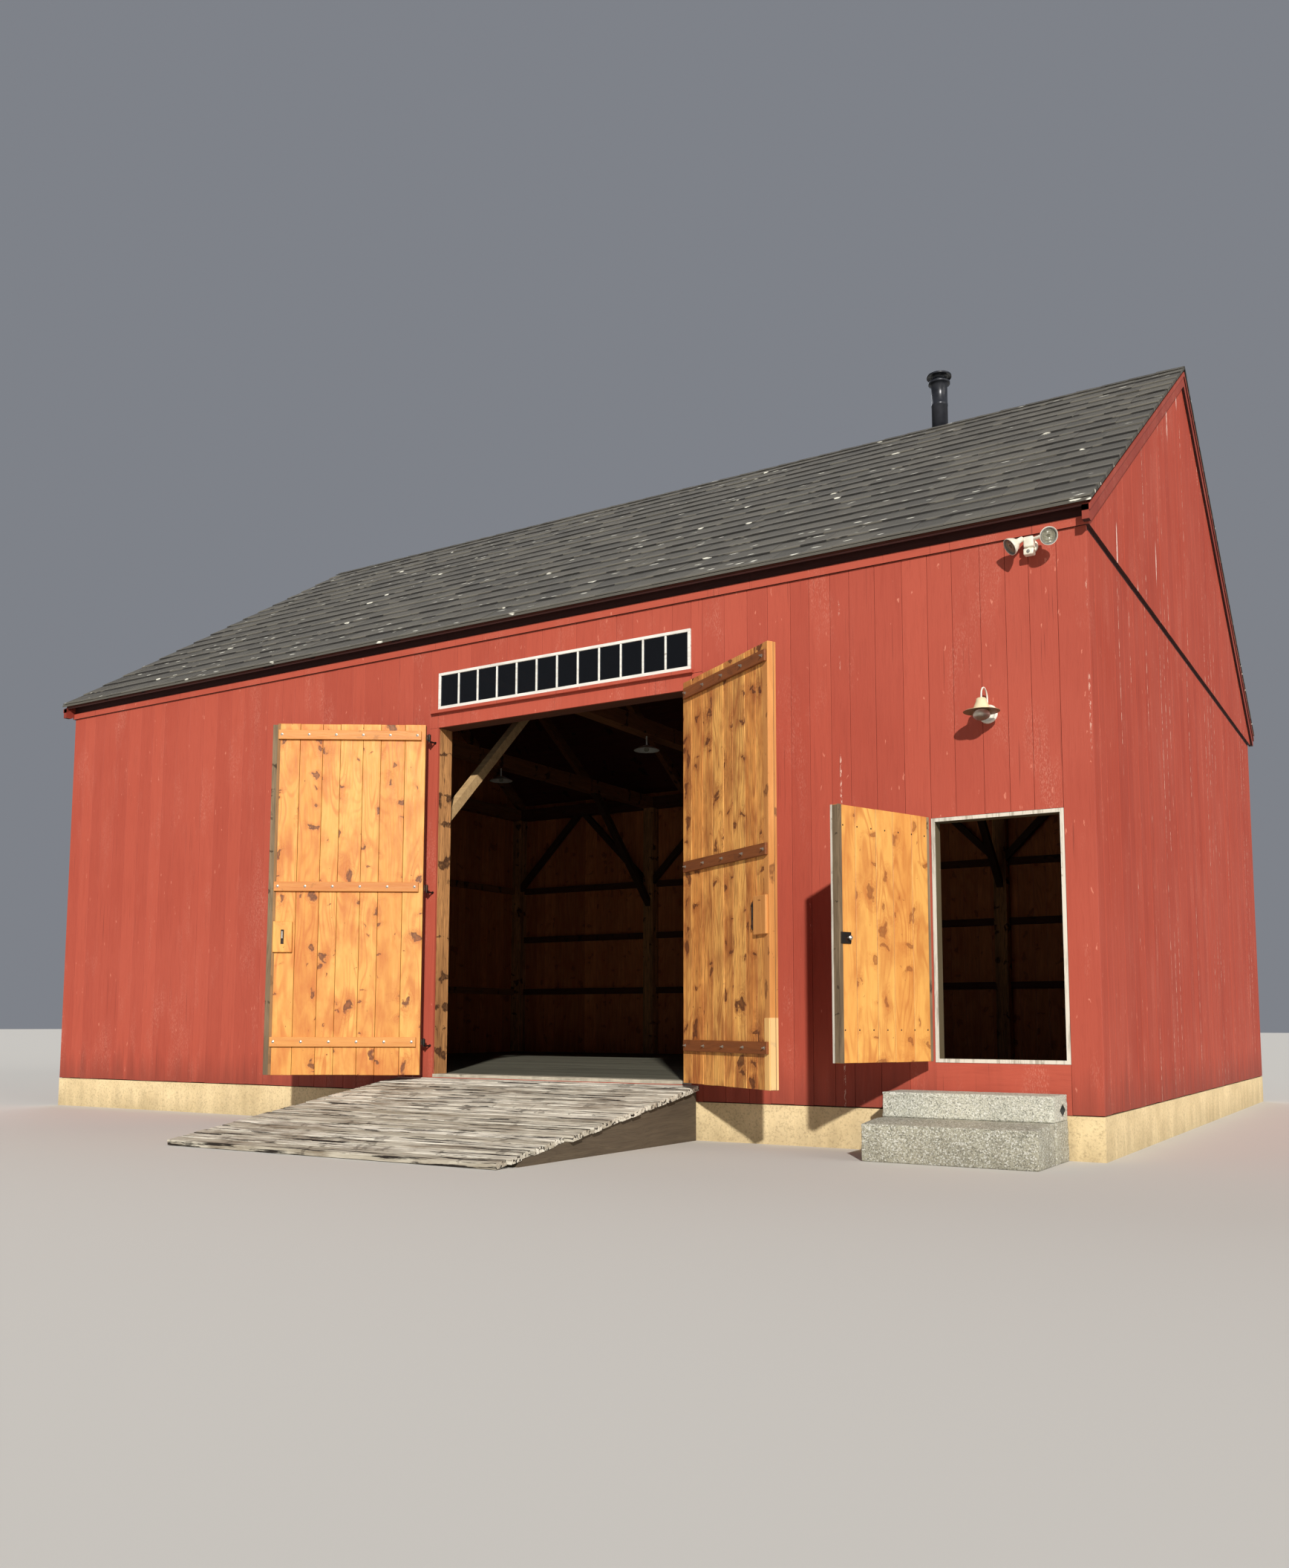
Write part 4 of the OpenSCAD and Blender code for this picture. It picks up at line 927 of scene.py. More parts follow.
def buildRakes():
    # each slope: a wide board and a thicker strip on it along the roof's edge
    low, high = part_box("rake_boards")
    top = Vector((0, midY, roofHeight(midY, roofShape["shingle"] + roofShape["boards"] + 0.001)))
    bm = startPiece()
    for outer, inner, side in ((low.x, leftX, -1), (high.x, rightX, 1)):
        rim = outer - side * rakeShape["inset"]
        for face, drop, tone in ((rim, rakeDepth(), 0.8), (outer, rakeShape["strip"], 0.3)):
            for slope in (-1, 1):
                part = board((min(inner, face), low.y if slope < 0 else midY, low.z - 1),
                             (max(inner, face), midY if slope < 0 else high.y, high.z + 1), 0)
                rise = Vector((0, slope * roofShape["pitch"], 1))
                cutAway(part, top, rise)
                cutAway(part, top - Vector((0, 0, drop / roofCos)), -rise)
                cutAway(part, Vector((0, midY, low.z)), Vector((0, 0, -1)))
                part.normal_update()
                # faces that look down take the painted shade finish
                for edge in part.faces:
                    edge.material_index = 1 if edge.normal.z < -0.5 else 0
                join(bm, part, tone)
    makePiece("rake_trim", bm, ["redRake", "redPaintedShade"], ["rake_boards"])


def buildRoof():
    dice = random.Random(7)
    buildRakes()
    buildEave("front_eave_boards", "front_cornice", 1, dice)
    buildEave("rear_eave_boards", "rear_cornice", -1, dice)
    shingleSlope("front_shingles", 1, dice)
    shingleSlope("rear_shingles", -1, dice)
    buildRidge(dice)
    print("roof laid")


buildRoof()


floorPlanks = {"narrow": 0.15, "wide": 0.22, "short": 3.2, "long": 4.9, "gap": 0.003,
               "endGap": 0.002, "uneven": 0.0012}


def buildFloor():
    dice = random.Random(3)
    low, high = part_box("floor_deck")
    gap, endGap = floorPlanks["gap"] / 2, floorPlanks["endGap"] / 2
    bm = startPiece()
    for start, end in splitRun(low.y, high.y, floorPlanks["narrow"], floorPlanks["wide"], dice):
        for left, right in splitRun(low.x, high.x, floorPlanks["short"], floorPlanks["long"], dice):
            top = high.z - dice.uniform(0, floorPlanks["uneven"])
            plank = board((left + endGap, start + gap, low.z), (right - endGap, end - gap, top))
            join(bm, plank, dice.random())
    makePiece("floor_planks", bm, ["floorPlank"], ["floor_deck"])


rampPlanks = {"count": 20, "gap": 0.016, "thick": 0.050, "foot": 0.004, "wornRows": 6, "cuts": 24,
              "edge": 0.006, "inset": 0.03, "short": 0.035, "wornShort": (0.01, 0.07),
              "cup": (-0.002, 0.003), "sink": 0.002, "sway": 0.003, "hollow": 0.004, "bite": 0.006}


def buildRamp():
    dice = random.Random(12)
    low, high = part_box("ramp_deck")
    rise, run, width = high.z - rampPlanks["thick"], high.y - low.y, high.x - low.x
    angle = math.atan2(rise, run)
    slope = Matrix.Translation((low.x, low.y, rampPlanks["thick"])) @ Matrix.Rotation(angle, 4, "X")
    thick = rampPlanks["thick"] * math.cos(angle) - 0.002
    pitch = math.hypot(rise, run) / rampPlanks["count"]
    bm = startPiece()
    for index in range(rampPlanks["count"]):
        worn = index < rampPlanks["wornRows"]
        start = rampPlanks["foot"] + index * pitch + rampPlanks["gap"] / 2
        end = (index + 1) * pitch - rampPlanks["gap"] / 2
        short = dice.uniform(0, rampPlanks["short"])
        short += dice.uniform(*rampPlanks["wornShort"]) if worn else 0
        part = board((dice.uniform(0, rampPlanks["inset"]), start, -thick), (width - short, end, 0),
                     0)
        lengthwise = [e for e in part.edges if abs(e.verts[0].co.x - e.verts[1].co.x) > 1]
        bmesh.ops.subdivide_edges(part, edges=lengthwise, cuts=rampPlanks["cuts"],
                                  use_grid_fill=True)
        edges = [e for e in part.edges if abs(e.verts[0].co.y - e.verts[1].co.y) < 0.001
                 and min(e.verts[0].co.z, e.verts[1].co.z) > -0.001]
        roundEdges(part, edges, rampPlanks["edge"], 2)
        cup = max(dice.uniform(*rampPlanks["cup"]), 0)
        # waves along each plank, and on the low worn ones hollows and bites out of the front edge
        for vertex in part.verts:
            x = vertex.co.x
            sway = abs(noise.noise((x * 1.3, index * 5.1, 0.3)))
            if vertex.co.z > -0.01:
                dip = abs(noise.noise((x * 7, index * 2.2, 1.7)))
                hollow = rampPlanks["hollow"] * dip if worn else 0
                vertex.co.z -= rampPlanks["sink"] + rampPlanks["sway"] * sway + cup + hollow
            if abs(vertex.co.y - start) < 0.002:
                bite = rampPlanks["bite"] * abs(noise.noise((x * 9, index, 4))) if worn else 0
                vertex.co.y += rampPlanks["sink"] * sway + bite
        join(bm, part, dice.random(), slope)
    makePiece("ramp_planks", bm, ["rampPlank"], ["ramp_deck"])


buildFloor()
buildRamp()
print("floor and ramp laid")


stepStone = {"edge": 0.012, "grid": 0.045, "rough": 0.011, "topShare": 0.2, "sideShare": 1.2,
             "coarse": 9, "fine": 23, "fineShare": 0.6, "nose": 0.06, "tread": 0.30, "fall": 0.028,
             "joint": 0.385, "seam": 0.005, "holeBack": 0.42, "holeUp": 0.085, "holeWide": 0.085,
             "holeTall": 0.048, "holeDeep": 0.03}


def cutGrid(bm, low, high, size):
    for axis in range(3):
        count = max(3, round((high[axis] - low[axis]) / size))
        normal = Vector([float(axis == i) for i in range(3)])
        for index in range(1, count):
            bmesh.ops.bisect_plane(bm, geom=everything(bm), plane_co=low.lerp(high, index / count),
                                   plane_no=normal)


def holeIn(bm, low, high):
    # a diamond-shaped recess in the right end
    wide, tall = stepStone["holeWide"], stepStone["holeTall"]
    middle = Vector((high.x, high.y - stepStone["holeBack"] * (high.y - low.y),
                     low.z + stepStone["holeUp"]))
    sides = [Vector((0, y * tall, z * wide)).normalized() for y in (-1, 1) for z in (-1, 1)]
    reach = abs(sides[0].z) * tall
    for side in sides:
        bmesh.ops.bisect_plane(bm, geom=everything(bm), plane_co=middle + side * reach,
                               plane_no=side)
    bm.normal_update()
    inside = [f for f in bm.faces if f.normal.x > 0.9 and all(
        (f.calc_center_median() - middle).dot(side) < reach for side in sides)]
    deep = bmesh.ops.extrude_face_region(bm, geom=inside)["geom"]
    bmesh.ops.translate(bm, vec=(-stepStone["holeDeep"], 0, 0),
                        verts=[v for v in deep if isinstance(v, bmesh.types.BMVert)])
    bmesh.ops.delete(bm, geom=inside, context="FACES_ONLY")
    for face in bm.faces:
        center = face.calc_center_median()
        if (center - middle).length < wide and center.x < high.x - 0.005:
            face.material_index = 1
    return [v for v in bm.verts if (v.co - middle).length < wide * 1.05]


def roughBlock(bm, low, high, seed, tread=False, hole=False):
    part = board(low, high, stepStone["edge"], 2)
    cutGrid(part, low, high, stepStone["grid"])
    bmesh.ops.remove_doubles(part, verts=part.verts, dist=0.0005)
    kept = set(holeIn(part, low, high)) if hole else set()
    part.normal_update()
    for vertex in part.verts:
        if vertex in kept:
            continue
        share = stepStone["topShare"] + stepStone["sideShare"] * (1 - abs(vertex.normal.z))
        dent = abs(noise.noise(vertex.co * stepStone["coarse"] + Vector((seed, 0, 0))))
        dent += stepStone["fineShare"] * abs(noise.noise(vertex.co * stepStone["fine"]))
        if vertex.co.z > low.z + 0.001:
            vertex.co -= vertex.normal * dent * stepStone["rough"] * share
            back = (vertex.co.y - low.y) / stepStone["tread"]
            if tread and vertex.co.z > high.z - stepStone["nose"] and back < 1:
                vertex.co.z -= stepStone["fall"] * (1 - back)
    join(bm, part)


def buildSteps():
    # the lower step is two stones, the front one with a worn tread
    low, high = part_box("lower_step")
    joint = high.y - stepStone["joint"]
    bm = startPiece()
    roughBlock(bm, low, Vector((high.x, joint - stepStone["seam"], high.z)), 1.5, tread=True)
    roughBlock(bm, Vector((low.x, joint, low.z)), high, 3.3)
    makePiece("lower_granite_step", bm, ["graniteGrey"], ["lower_step"], smooth=True)
    bm = startPiece()
    roughBlock(bm, *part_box("upper_step"), 8.2, hole=True)
    makePiece("upper_granite_step", bm, ["granite", "holeShade"], ["upper_step"],
              smooth=True)


buildSteps()
print("steps set")


doubleLeaf = {"battenLow": 0.290, "batten": 0.100, "battenDrop": 0.170, "straps": 0.900,
              "strapLow": 0.340, "strapCount": 3}
leafShapes = {
    "left_leaf": {**doubleLeaf, "joint": "left_leaf_hinge", "side": 1,
                  "widths": (0.21, 0.245, 0.18, 0.23, 0.18, 0.23, 0.23), "pine": "pineLight",
                  "edges": (0, 0.030), "edgeWood": "brownEdge", "freeEdge": "brownEdge",
                  "across": "pineLightAcross", "blockWood": "pineLight", "bolts": 6,
                  "strapDrop": 0.120},
    "right_leaf": {**doubleLeaf, "joint": "right_leaf_hinge", "side": -1,
                   "widths": (0.17, 0.21, 0.18, 0.20, 0.16, 0.21, 0.18, 0.20), "pine": "pineHoney",
                   "edges": (0, 0.075), "edgeWood": "pineEdge", "freeEdge": "pineEdge",
                   "patch": (0.080, 0.58),
                   "across": "pineBrownAcross", "blockWood": "pineEdge", "bolts": 5,
                   "strapDrop": 0.140},
    "side_door": {"joint": "side_door_hinge", "side": 1, "widths": (0.22, 0.23, 0.20, 0.24, 0.20),
                  "pine": "pineOrange", "edges": (0.030, 0.045), "edgeWood": "weathered",
                  "freeEdge": "doorEdge",
                  "straps": 0.700, "strapLow": 0.230, "strapDrop": 0.309, "strapCount": 2},
}


def leafPlace(leaf):
    # from a shut leaf with its axis at the origin to where it stands open
    shape = leafShapes[leaf]
    axis = Vector(joints[shape["joint"]]["pos_m"])
    axis.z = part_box(leaf + "_siding")[0].z
    place = Matrix.Translation(axis) @ Matrix.Rotation(leafAngles[leaf], 4, "Z")
    if shape["side"] < 0:
        place = place @ Matrix.Scale(-1, 4, (1, 0, 0))
    return place


def localBox(node, place):
    back = place.inverted()
    points = [back @ vertex.co for vertex in cadNodes[node].data.vertices]
    return [Vector([end(p[i] for p in points) for i in range(3)]) for end in (min, max)]


def dome(place, radius, height, sides=10):
    return lathe([(0, -0.002), (radius, -0.002), (radius, height * 0.25),
                  (radius * 0.72, height * 0.8), (0, height)], sides, place)


pineBoards = {"gap": 0.0015, "uneven": 0.004, "cup": 0.0015, "edge": 0.003, "overlap": 0.004,
              "stripShort": 0.002, "stripEdge": 0.002, "stripOut": 0.0025, "patchShort": 0.001,
              "patchOut": 0.007}


def leafBoards(leaf, dice):
    shape, place = leafShapes[leaf], leafPlace(leaf)
    low, high = localBox(leaf + "_boards", place)
    share = (high.x - low.x) / sum(shape["widths"])
    bm = startPiece()
    start = low.x
    for width in shape["widths"]:
        end = start + width * share
        foot = low.z + dice.uniform(0, pineBoards["uneven"])
        outer = high.y - dice.uniform(0, pineBoards["cup"])
        top = high.z - dice.uniform(0, pineBoards["uneven"])
        part = board((start + pineBoards["gap"], low.y, foot), (end - pineBoards["gap"], outer, top),
                     pineBoards["edge"])
        part.normal_update()
        for face in part.faces:
            face.material_index = int(max(abs(face.normal.x), abs(face.normal.z)) > 0.9)
        join(bm, part, dice.random(), place)
        start = end
    # weathered strips along the two edges
    back, short = high.y - pineBoards["overlap"], pineBoards["stripShort"]
    for left, right in ((low.x, low.x + shape["edges"][0]), (high.x - shape["edges"][1], high.x)):
        if right - left > 0.001:
            strip = board((left, back, low.z + short),
                          (right, high.y + pineBoards["stripOut"], high.z - short),
                          pineBoards["stripEdge"])
            join(bm, strip, dice.random(), place, 1)
    if "patch" in shape:
        wide, tall = shape["patch"]
        patch = board((high.x - wide, back, low.z + pineBoards["patchShort"]),
                      (high.x, high.y + pineBoards["patchOut"], low.z + tall), pineBoards["edge"])
        join(bm, patch, 0.3, place, 2)
    makePiece(leaf + "_pine_boards", bm, [shape["pine"], shape["edgeWood"], "pinePatch"],
              [leaf + "_boards"], leaf)


skinBoards = {"narrow": 0.19, "wide": 0.25, "gap": 0.001, "cup": 0.001, "uneven": 0.003}


def leafSkin(leaf, dice):
    place = leafPlace(leaf)
    low, high = localBox(leaf + "_siding", place)
    bm = startPiece()
    gap, uneven = skinBoards["gap"], skinBoards["uneven"]
    for start, end in splitRun(low.x, high.x, skinBoards["narrow"], skinBoards["wide"], dice):
        outer, foot = low.y + dice.uniform(0, skinBoards["cup"]), low.z + dice.uniform(0, uneven)
        part = board((start + gap, outer, foot),
                     (end - gap, high.y, high.z - dice.uniform(0, uneven)))
        # faces that look down take the painted shade finish
        dressByFace(part, Vector((0, -1, 0)))
        for face in part.faces:
            if face.normal.x > 0.9 and end > high.x - 0.001:
                face.material_index = 3
        join(bm, part, dice.random(), place)
    makePiece(leaf + "_red_boards", bm,
              ["redBoards", "weathered", "redPaintedShade", leafShapes[leaf]["freeEdge"]],
              [leaf + "_siding"], leaf)


lockBlock = {"width": 0.200, "inset": 0.005, "low": 1.260, "high": 1.580, "edge": 0.006}
battenBolts = {"insets": (0.045, 0.040), "washer": 0.014, "head": 0.009, "nut": 0.011,
               "thread": 0.0055, "out": 0.024}


def leafBattens(leaf, dice):
    shape, place = leafShapes[leaf], leafPlace(leaf)
    low, high = localBox(leaf + "_battens", place)
    boardsHigh = localBox(leaf + "_boards", place)[1]
    face = boardsHigh.y
    bm, bolts = startPiece(), startPiece()
    for z in spaced(shape["battenLow"], boardsHigh.z - shape["battenDrop"], 3):
        part = board((low.x + dice.uniform(0, 0.006), face, z),
                     (high.x - dice.uniform(0, 0.004), high.y, z + shape["batten"]), 0.005, 2)
        join(bm, part, dice.random(), place)
        for x in spaced(low.x + battenBolts["insets"][0], high.x - battenBolts["insets"][1],
                        shape["bolts"]):
            seat = facing((x, high.y, z + shape["batten"] / 2), -90)
            join(bolts, dome(seat, battenBolts["washer"], 0.002, 12), place=place)
            head = battenBolts["head"]
            if shape["side"] > 0:
                join(bolts, dome(seat, head, head), place=place)
            else:
                nut = battenBolts["nut"]
                join(bolts, lathe([(0, 0), (nut, 0), (nut, head), (0, head)], 6, seat), place=place)
                join(bolts, rod(seat @ Vector((0, 0, 0)), seat @ Vector((0, 0, battenBolts["out"])),
                                battenBolts["thread"], 8), place=place)
    right = high.x - lockBlock["inset"]
    block = board((right - lockBlock["width"], face, lockBlock["low"]),
                  (right, high.y, lockBlock["high"]), lockBlock["edge"], 2)
    join(bm, block, 0.2, place, 1)
    makePiece(leaf + "_pine_battens", bm, [shape["across"], shape["blockWood"]],
              [leaf + "_battens"], leaf)
    makePiece(leaf + "_bolts", bolts, ["bright"], body=leaf)


strapShape = {"start": 0.010, "thick": 0.004, "half": 0.030, "taper": 0.62, "tip": 0.018,
              "pin": 0.0095, "eye": 0.0175, "bolts": 4, "head": (0.013, 0.008), "boltStart": 0.09,
              "boltEnd": 0.05}


def strapPart(length, z):
    # tapered strap with a rounded tip
    thick, half = strapShape["thick"], strapShape["half"]
    bm = board((strapShape["start"], -thick, z - half), (length, thick, z + half), 0)
    for vertex in bm.verts:
        if vertex.co.x > length / 2:
            vertex.co.z = z + (vertex.co.z - z) * strapShape["taper"]
    tips = [e for e in bm.edges if all(v.co.x > length / 2 for v in e.verts)
            and abs(e.verts[0].co.y - e.verts[1].co.y) > 0.001]
    roundEdges(bm, tips, strapShape["tip"], 4)
    return bm


def leafIron(leaf):
    shape, place = leafShapes[leaf], leafPlace(leaf)
    top = localBox(leaf + "_siding", place)[1].z - shape["strapDrop"]
    pin, eye, half = strapShape["pin"], strapShape["eye"], strapShape["half"]
    bm = startPiece()
    for z in spaced(shape["strapLow"], top, shape["strapCount"]):
        join(bm, strapPart(shape["straps"], z), place=place)
        ring = [(pin, -half), (eye, -half), (eye, half), (pin, half), (pin, -half)]
        join(bm, lathe(ring, 20, Matrix.Translation((0, 0, z))), place=place)
        lastBolt = shape["straps"] - strapShape["boltEnd"]
        for x in spaced(strapShape["boltStart"], lastBolt, strapShape["bolts"]):
            join(bm, dome(facing((x, -strapShape["thick"], z), 90), *strapShape["head"]),
                 place=place)
    leafLock(leaf, bm, place)
    makePiece(leaf + "_straps", bm, ["iron", "bright"], [leaf + "_ironwork"], leaf)


# each lock sits in from the free edge, out from the boards and up from the foot of its leaf;
# plates are low corner, high corner, edge, rounds, finish; rods are start, end, radius
locks = {
    "left_leaf": {"in": 0.115, "out": 0.028, "up": 1.42,
                  "plates": [((-0.016, -0.001, -0.075), (0.016, 0.004, 0.075), 0.002, 1, 0),
                             ((-0.008, 0.004, -0.020), (0.008, 0.019, 0.058), 0.004, 2, 1)]},
    "right_leaf": {"in": 0.245, "out": 0.0, "up": 1.42,
                   "plates": [((-0.018, 0, -0.120), (0.014, 0.006, 0.120), 0.002, 1, 0),
                              ((-0.014, 0, -0.097), (0.010, 0.024, -0.073), 0.003, 1, 0),
                              ((-0.014, 0, 0.073), (0.010, 0.024, 0.097), 0.003, 1, 0)],
                   "rods": [((-0.002, 0.015, -0.112), (-0.002, 0.015, 0.112), 0.008),
                            ((-0.002, 0.015, -0.020), (0.050, 0.020, -0.035), 0.005)]},
    "side_door": {"in": 0.075, "out": 0.0, "up": 0.965,
                  "plates": [((-0.055, 0, -0.045), (0.055, 0.011, 0.045), 0.003, 2, 0)],
                  "knobAt": (-0.018, 0.006, 0),
                  "knob": [(0, 0), (0.008, 0), (0.007, 0.018), (0.017, 0.026), (0.019, 0.036),
                           (0.010, 0.044), (0, 0.045)]},
}


def leafLock(leaf, bm, place):
    lock, face = locks[leaf], localBox(leaf + "_boards", place)[1]

    def at(offset):
        return (face.x - lock["in"] + offset[0], face.y + lock["out"] + offset[1],
                lock["up"] + offset[2])
    for low, high, edge, rounds, finish in lock["plates"]:
        join(bm, board(at(low), at(high), edge, rounds), place=place, finish=finish)
    for start, end, radius in lock.get("rods", ()):
        join(bm, rod(at(start), at(end), radius), place=place)
    if "knob" in lock:
        join(bm, lathe(lock["knob"], 16, facing(at(lock["knobAt"]), -90)), place=place, finish=1)


nailRows = {"heights": (0.255, 1.845), "count": 7, "inset": 0.06, "radius": 0.0075, "out": 0.003}


def nailSideDoor():
    place = leafPlace("side_door")
    low, high = localBox("side_door_boards", place)
    inset, radius, out = (nailRows[key] for key in ("inset", "radius", "out"))
    bm = startPiece()
    for z in nailRows["heights"]:
        for x in spaced(low.x + inset, high.x - inset, nailRows["count"]):
            join(bm, dome(facing((x, high.y - 0.001, z), -90), radius, out, 8), place=place)
    makePiece("side_door_nails", bm, ["iron"], body="side_door")


def buildLeaves():
    dice = random.Random(23)
    for leaf in leafShapes:
        leafSkin(leaf, dice)
        leafBoards(leaf, dice)
        leafIron(leaf)
    leafBattens("left_leaf", dice)
    leafBattens("right_leaf", dice)
    nailSideDoor()
    print("leaves hung")


buildLeaves()


transomShape = {"stile": 0.030, "topRail": 0.030, "lowRail": 0.040, "bar": 0.020, "barBack": 0.003,
                "panes": 12, "paneDeep": 0.012, "paneThick": 0.004}


def buildTransom():
    # sash of rails, stiles and slim bars, with a drip ledge under it and panes near its face
    frameLow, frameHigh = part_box("transom_frame")
    points = [v.co for v in cadNodes["transom_frame"].data.vertices if v.co.z > frameHigh.z - 0.002]
    low = Vector((min(p.x for p in points), min(p.y for p in points), frameHigh.z - sashHigh))
    high = Vector((max(p.x for p in points), frameHigh.y, frameHigh.z))
    stile, bar, paneThick = transomShape["stile"], transomShape["bar"], transomShape["paneThick"]
    foot, head = low.z + transomShape["lowRail"], high.z - transomShape["topRail"]
    face = low.y + transomShape["paneDeep"]
    bm, panes = startPiece(), startPiece()
    join(bm, board((low.x, low.y, head), high, 0.003))
    join(bm, board(low, (high.x, high.y, foot), 0.003))
    for x in (low.x, high.x - stile):
        join(bm, board((x, low.y, foot), (x + stile, high.y, head), 0.003), 0.8)
    pitch = (high.x - low.x - 2 * stile + bar) / transomShape["panes"]
    for index in range(transomShape["panes"]):
        x = low.x + stile + index * pitch
        join(panes, board((x, face, foot), (x + pitch - bar, face + paneThick, head), 0))
        if index:
            slim = board((x - bar, low.y + transomShape["barBack"], foot),
                         (x, high.y - 0.002, head), 0.002)
            join(bm, slim, 0.8)
    join(bm, board(frameLow, (frameHigh.x, frontY, low.z), 0.002), 0.4, finish=1)
    makePiece("transom_sash", bm, ["white", "redTrim"], ["transom_frame"])
    makePiece("transom_panes", panes, ["windowGlass"], ["transom_glass"])


buildTransom()


def tube(points, radius, rounds=2):
    # a smooth pipe through control points, closed at its ends
    data = bpy.data.curves.new("tube", "CURVE")
    data.dimensions = "3D"
    data.bevel_depth = radius
    data.bevel_resolution = rounds
    data.use_fill_caps = True
    data.resolution_u = 5
    spline = data.splines.new("NURBS")
    spline.points.add(len(points) - 1)
    for point, co in zip(spline.points, points):
        point.co = (*co, 1)
    spline.use_endpoint_u = True
    spline.order_u = 4
    holder = bpy.data.objects.new("tube", data)
    scene.collection.objects.link(holder)
    bpy.context.view_layer.update()
    shaped = holder.evaluated_get(bpy.context.evaluated_depsgraph_get())
    mesh = bpy.data.meshes.new_from_object(shaped)
    bm = bmesh.new()
    bm.from_mesh(mesh)
    bmesh.ops.remove_doubles(bm, verts=bm.verts, dist=1e-5)
    bmesh.ops.recalc_face_normals(bm, faces=bm.faces)
    bpy.data.objects.remove(holder)
    bpy.data.curves.remove(data)
    bpy.data.meshes.remove(mesh)
    return bm


lampShape = {"plate": 0.080, "out": 0.185, "neckHigh": 0.096, "neck": 0.034, "shade": 0.148,
             "arm": 0.007, "armBack": 0.020, "loopUp": 0.130, "loopWide": 1.02, "globe": 0.070,
             "middleUp": 0.076}


def buildBarnLamp():
    low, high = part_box("barn_lamp")
    centre = Vector(((low.x + high.x) / 2, frontY, low.z + lampShape["middleUp"]))
    at = Matrix.Translation(centre)
    out, plate, neck, neckHigh = (lampShape[key] for key in ("out", "plate", "neck", "neckHigh"))
    hub = at @ Matrix.Translation((0, -out, 0))
    bm = startPiece()
    join(bm, lathe([(0, 0), (plate - 0.004, 0), (plate, 0.004), (plate - 0.006, 0.014),
                    (plate * 0.72, 0.014), (plate * 0.66, 0.008), (plate * 0.4, 0.008),
                    (plate * 0.3, 0.019), (0, 0.020)], 40,
                   facing(centre, 90) @ Matrix.Translation((0, 0.012, 0))))
    makePiece("lamp_wall_plate", bm, ["plate"], smooth=True)
    # the arm rises from the plate and bends over in a loop to the shade's hub
    bm = startPiece()
    back, top = lampShape["armBack"], lampShape["loopUp"]
    loop = (out - back) / 2
    path = [(0, -0.012, 0.0), (0, -back, 0.03), (0, -back, top * 0.6), (0, -back, top)]
    for angle in range(20, 170, 20):
        turn = math.radians(angle)
        path.append((0, -back - loop + loop * math.cos(turn) * lampShape["loopWide"],
                     top + loop * math.sin(turn) * lampShape["loopWide"]))
    path += [(0, -out, top), (0, -out, top * 0.9), (0, -out, neckHigh - 0.004)]
    join(bm, tube(path, lampShape["arm"]), place=at)
    join(bm, lathe([(0, 0.092), (0.016, 0.092), (0.019, 0.098), (0.014, 0.112), (0.009, 0.118),
                    (0, 0.118)], 20, hub))
    makePiece("lamp_arm", bm, ["plate"], smooth=True)
    bm = startPiece()
    brim = lampShape["shade"]
    join(bm, lathe([(0, neckHigh + 0.012), (neck, neckHigh + 0.012),
                    (neck + 0.006, neckHigh + 0.006), (neck + 0.012, neckHigh - 0.02),
                    (neck + 0.034, 0.024), (neck + 0.042, 0.015), (brim - 0.004, 0.0),
                    (brim, -0.003), (brim - 0.003, -0.005), (neck + 0.040, 0.010),
                    (neck + 0.030, 0.019), (neck + 0.004, neckHigh - 0.02), (neck, neckHigh),
                    (0, neckHigh)], 48, hub))
    bm.normal_update()
    # faces that look down take a painted shade
    for face in bm.faces:
        if face.normal.z < -0.1:
            face.material_index = 1
    makePiece("lamp_shade", bm, ["cream", "lampUnderShade"], ["barn_lamp"], smooth=True)
    bm = startPiece()
    globe = lampShape["globe"]
    join(bm, lathe([(0.030, 0.012), (globe - 0.022, 0.004), (globe - 0.006, -0.012),
                    (globe, -0.030), (globe - 0.005, -0.048), (globe - 0.024, -0.064),
                    (globe - 0.046, -0.073), (0, -0.076)], 32, hub))
    bmesh.ops.holes_fill(bm, edges=bm.edges[:], sides=0)
    makePiece("lamp_globe", bm, ["globeGlass"], smooth=True)


floodShape = {"fromCorner": 0.440, "drop": 0.100, "out": 0.062, "radius": 0.073,
              # each head's place, tilt and pan
              "heads": (((-0.058, -0.110, 0.038), 35, -50), ((0.136, -0.120, 0.038), 24, 34))}


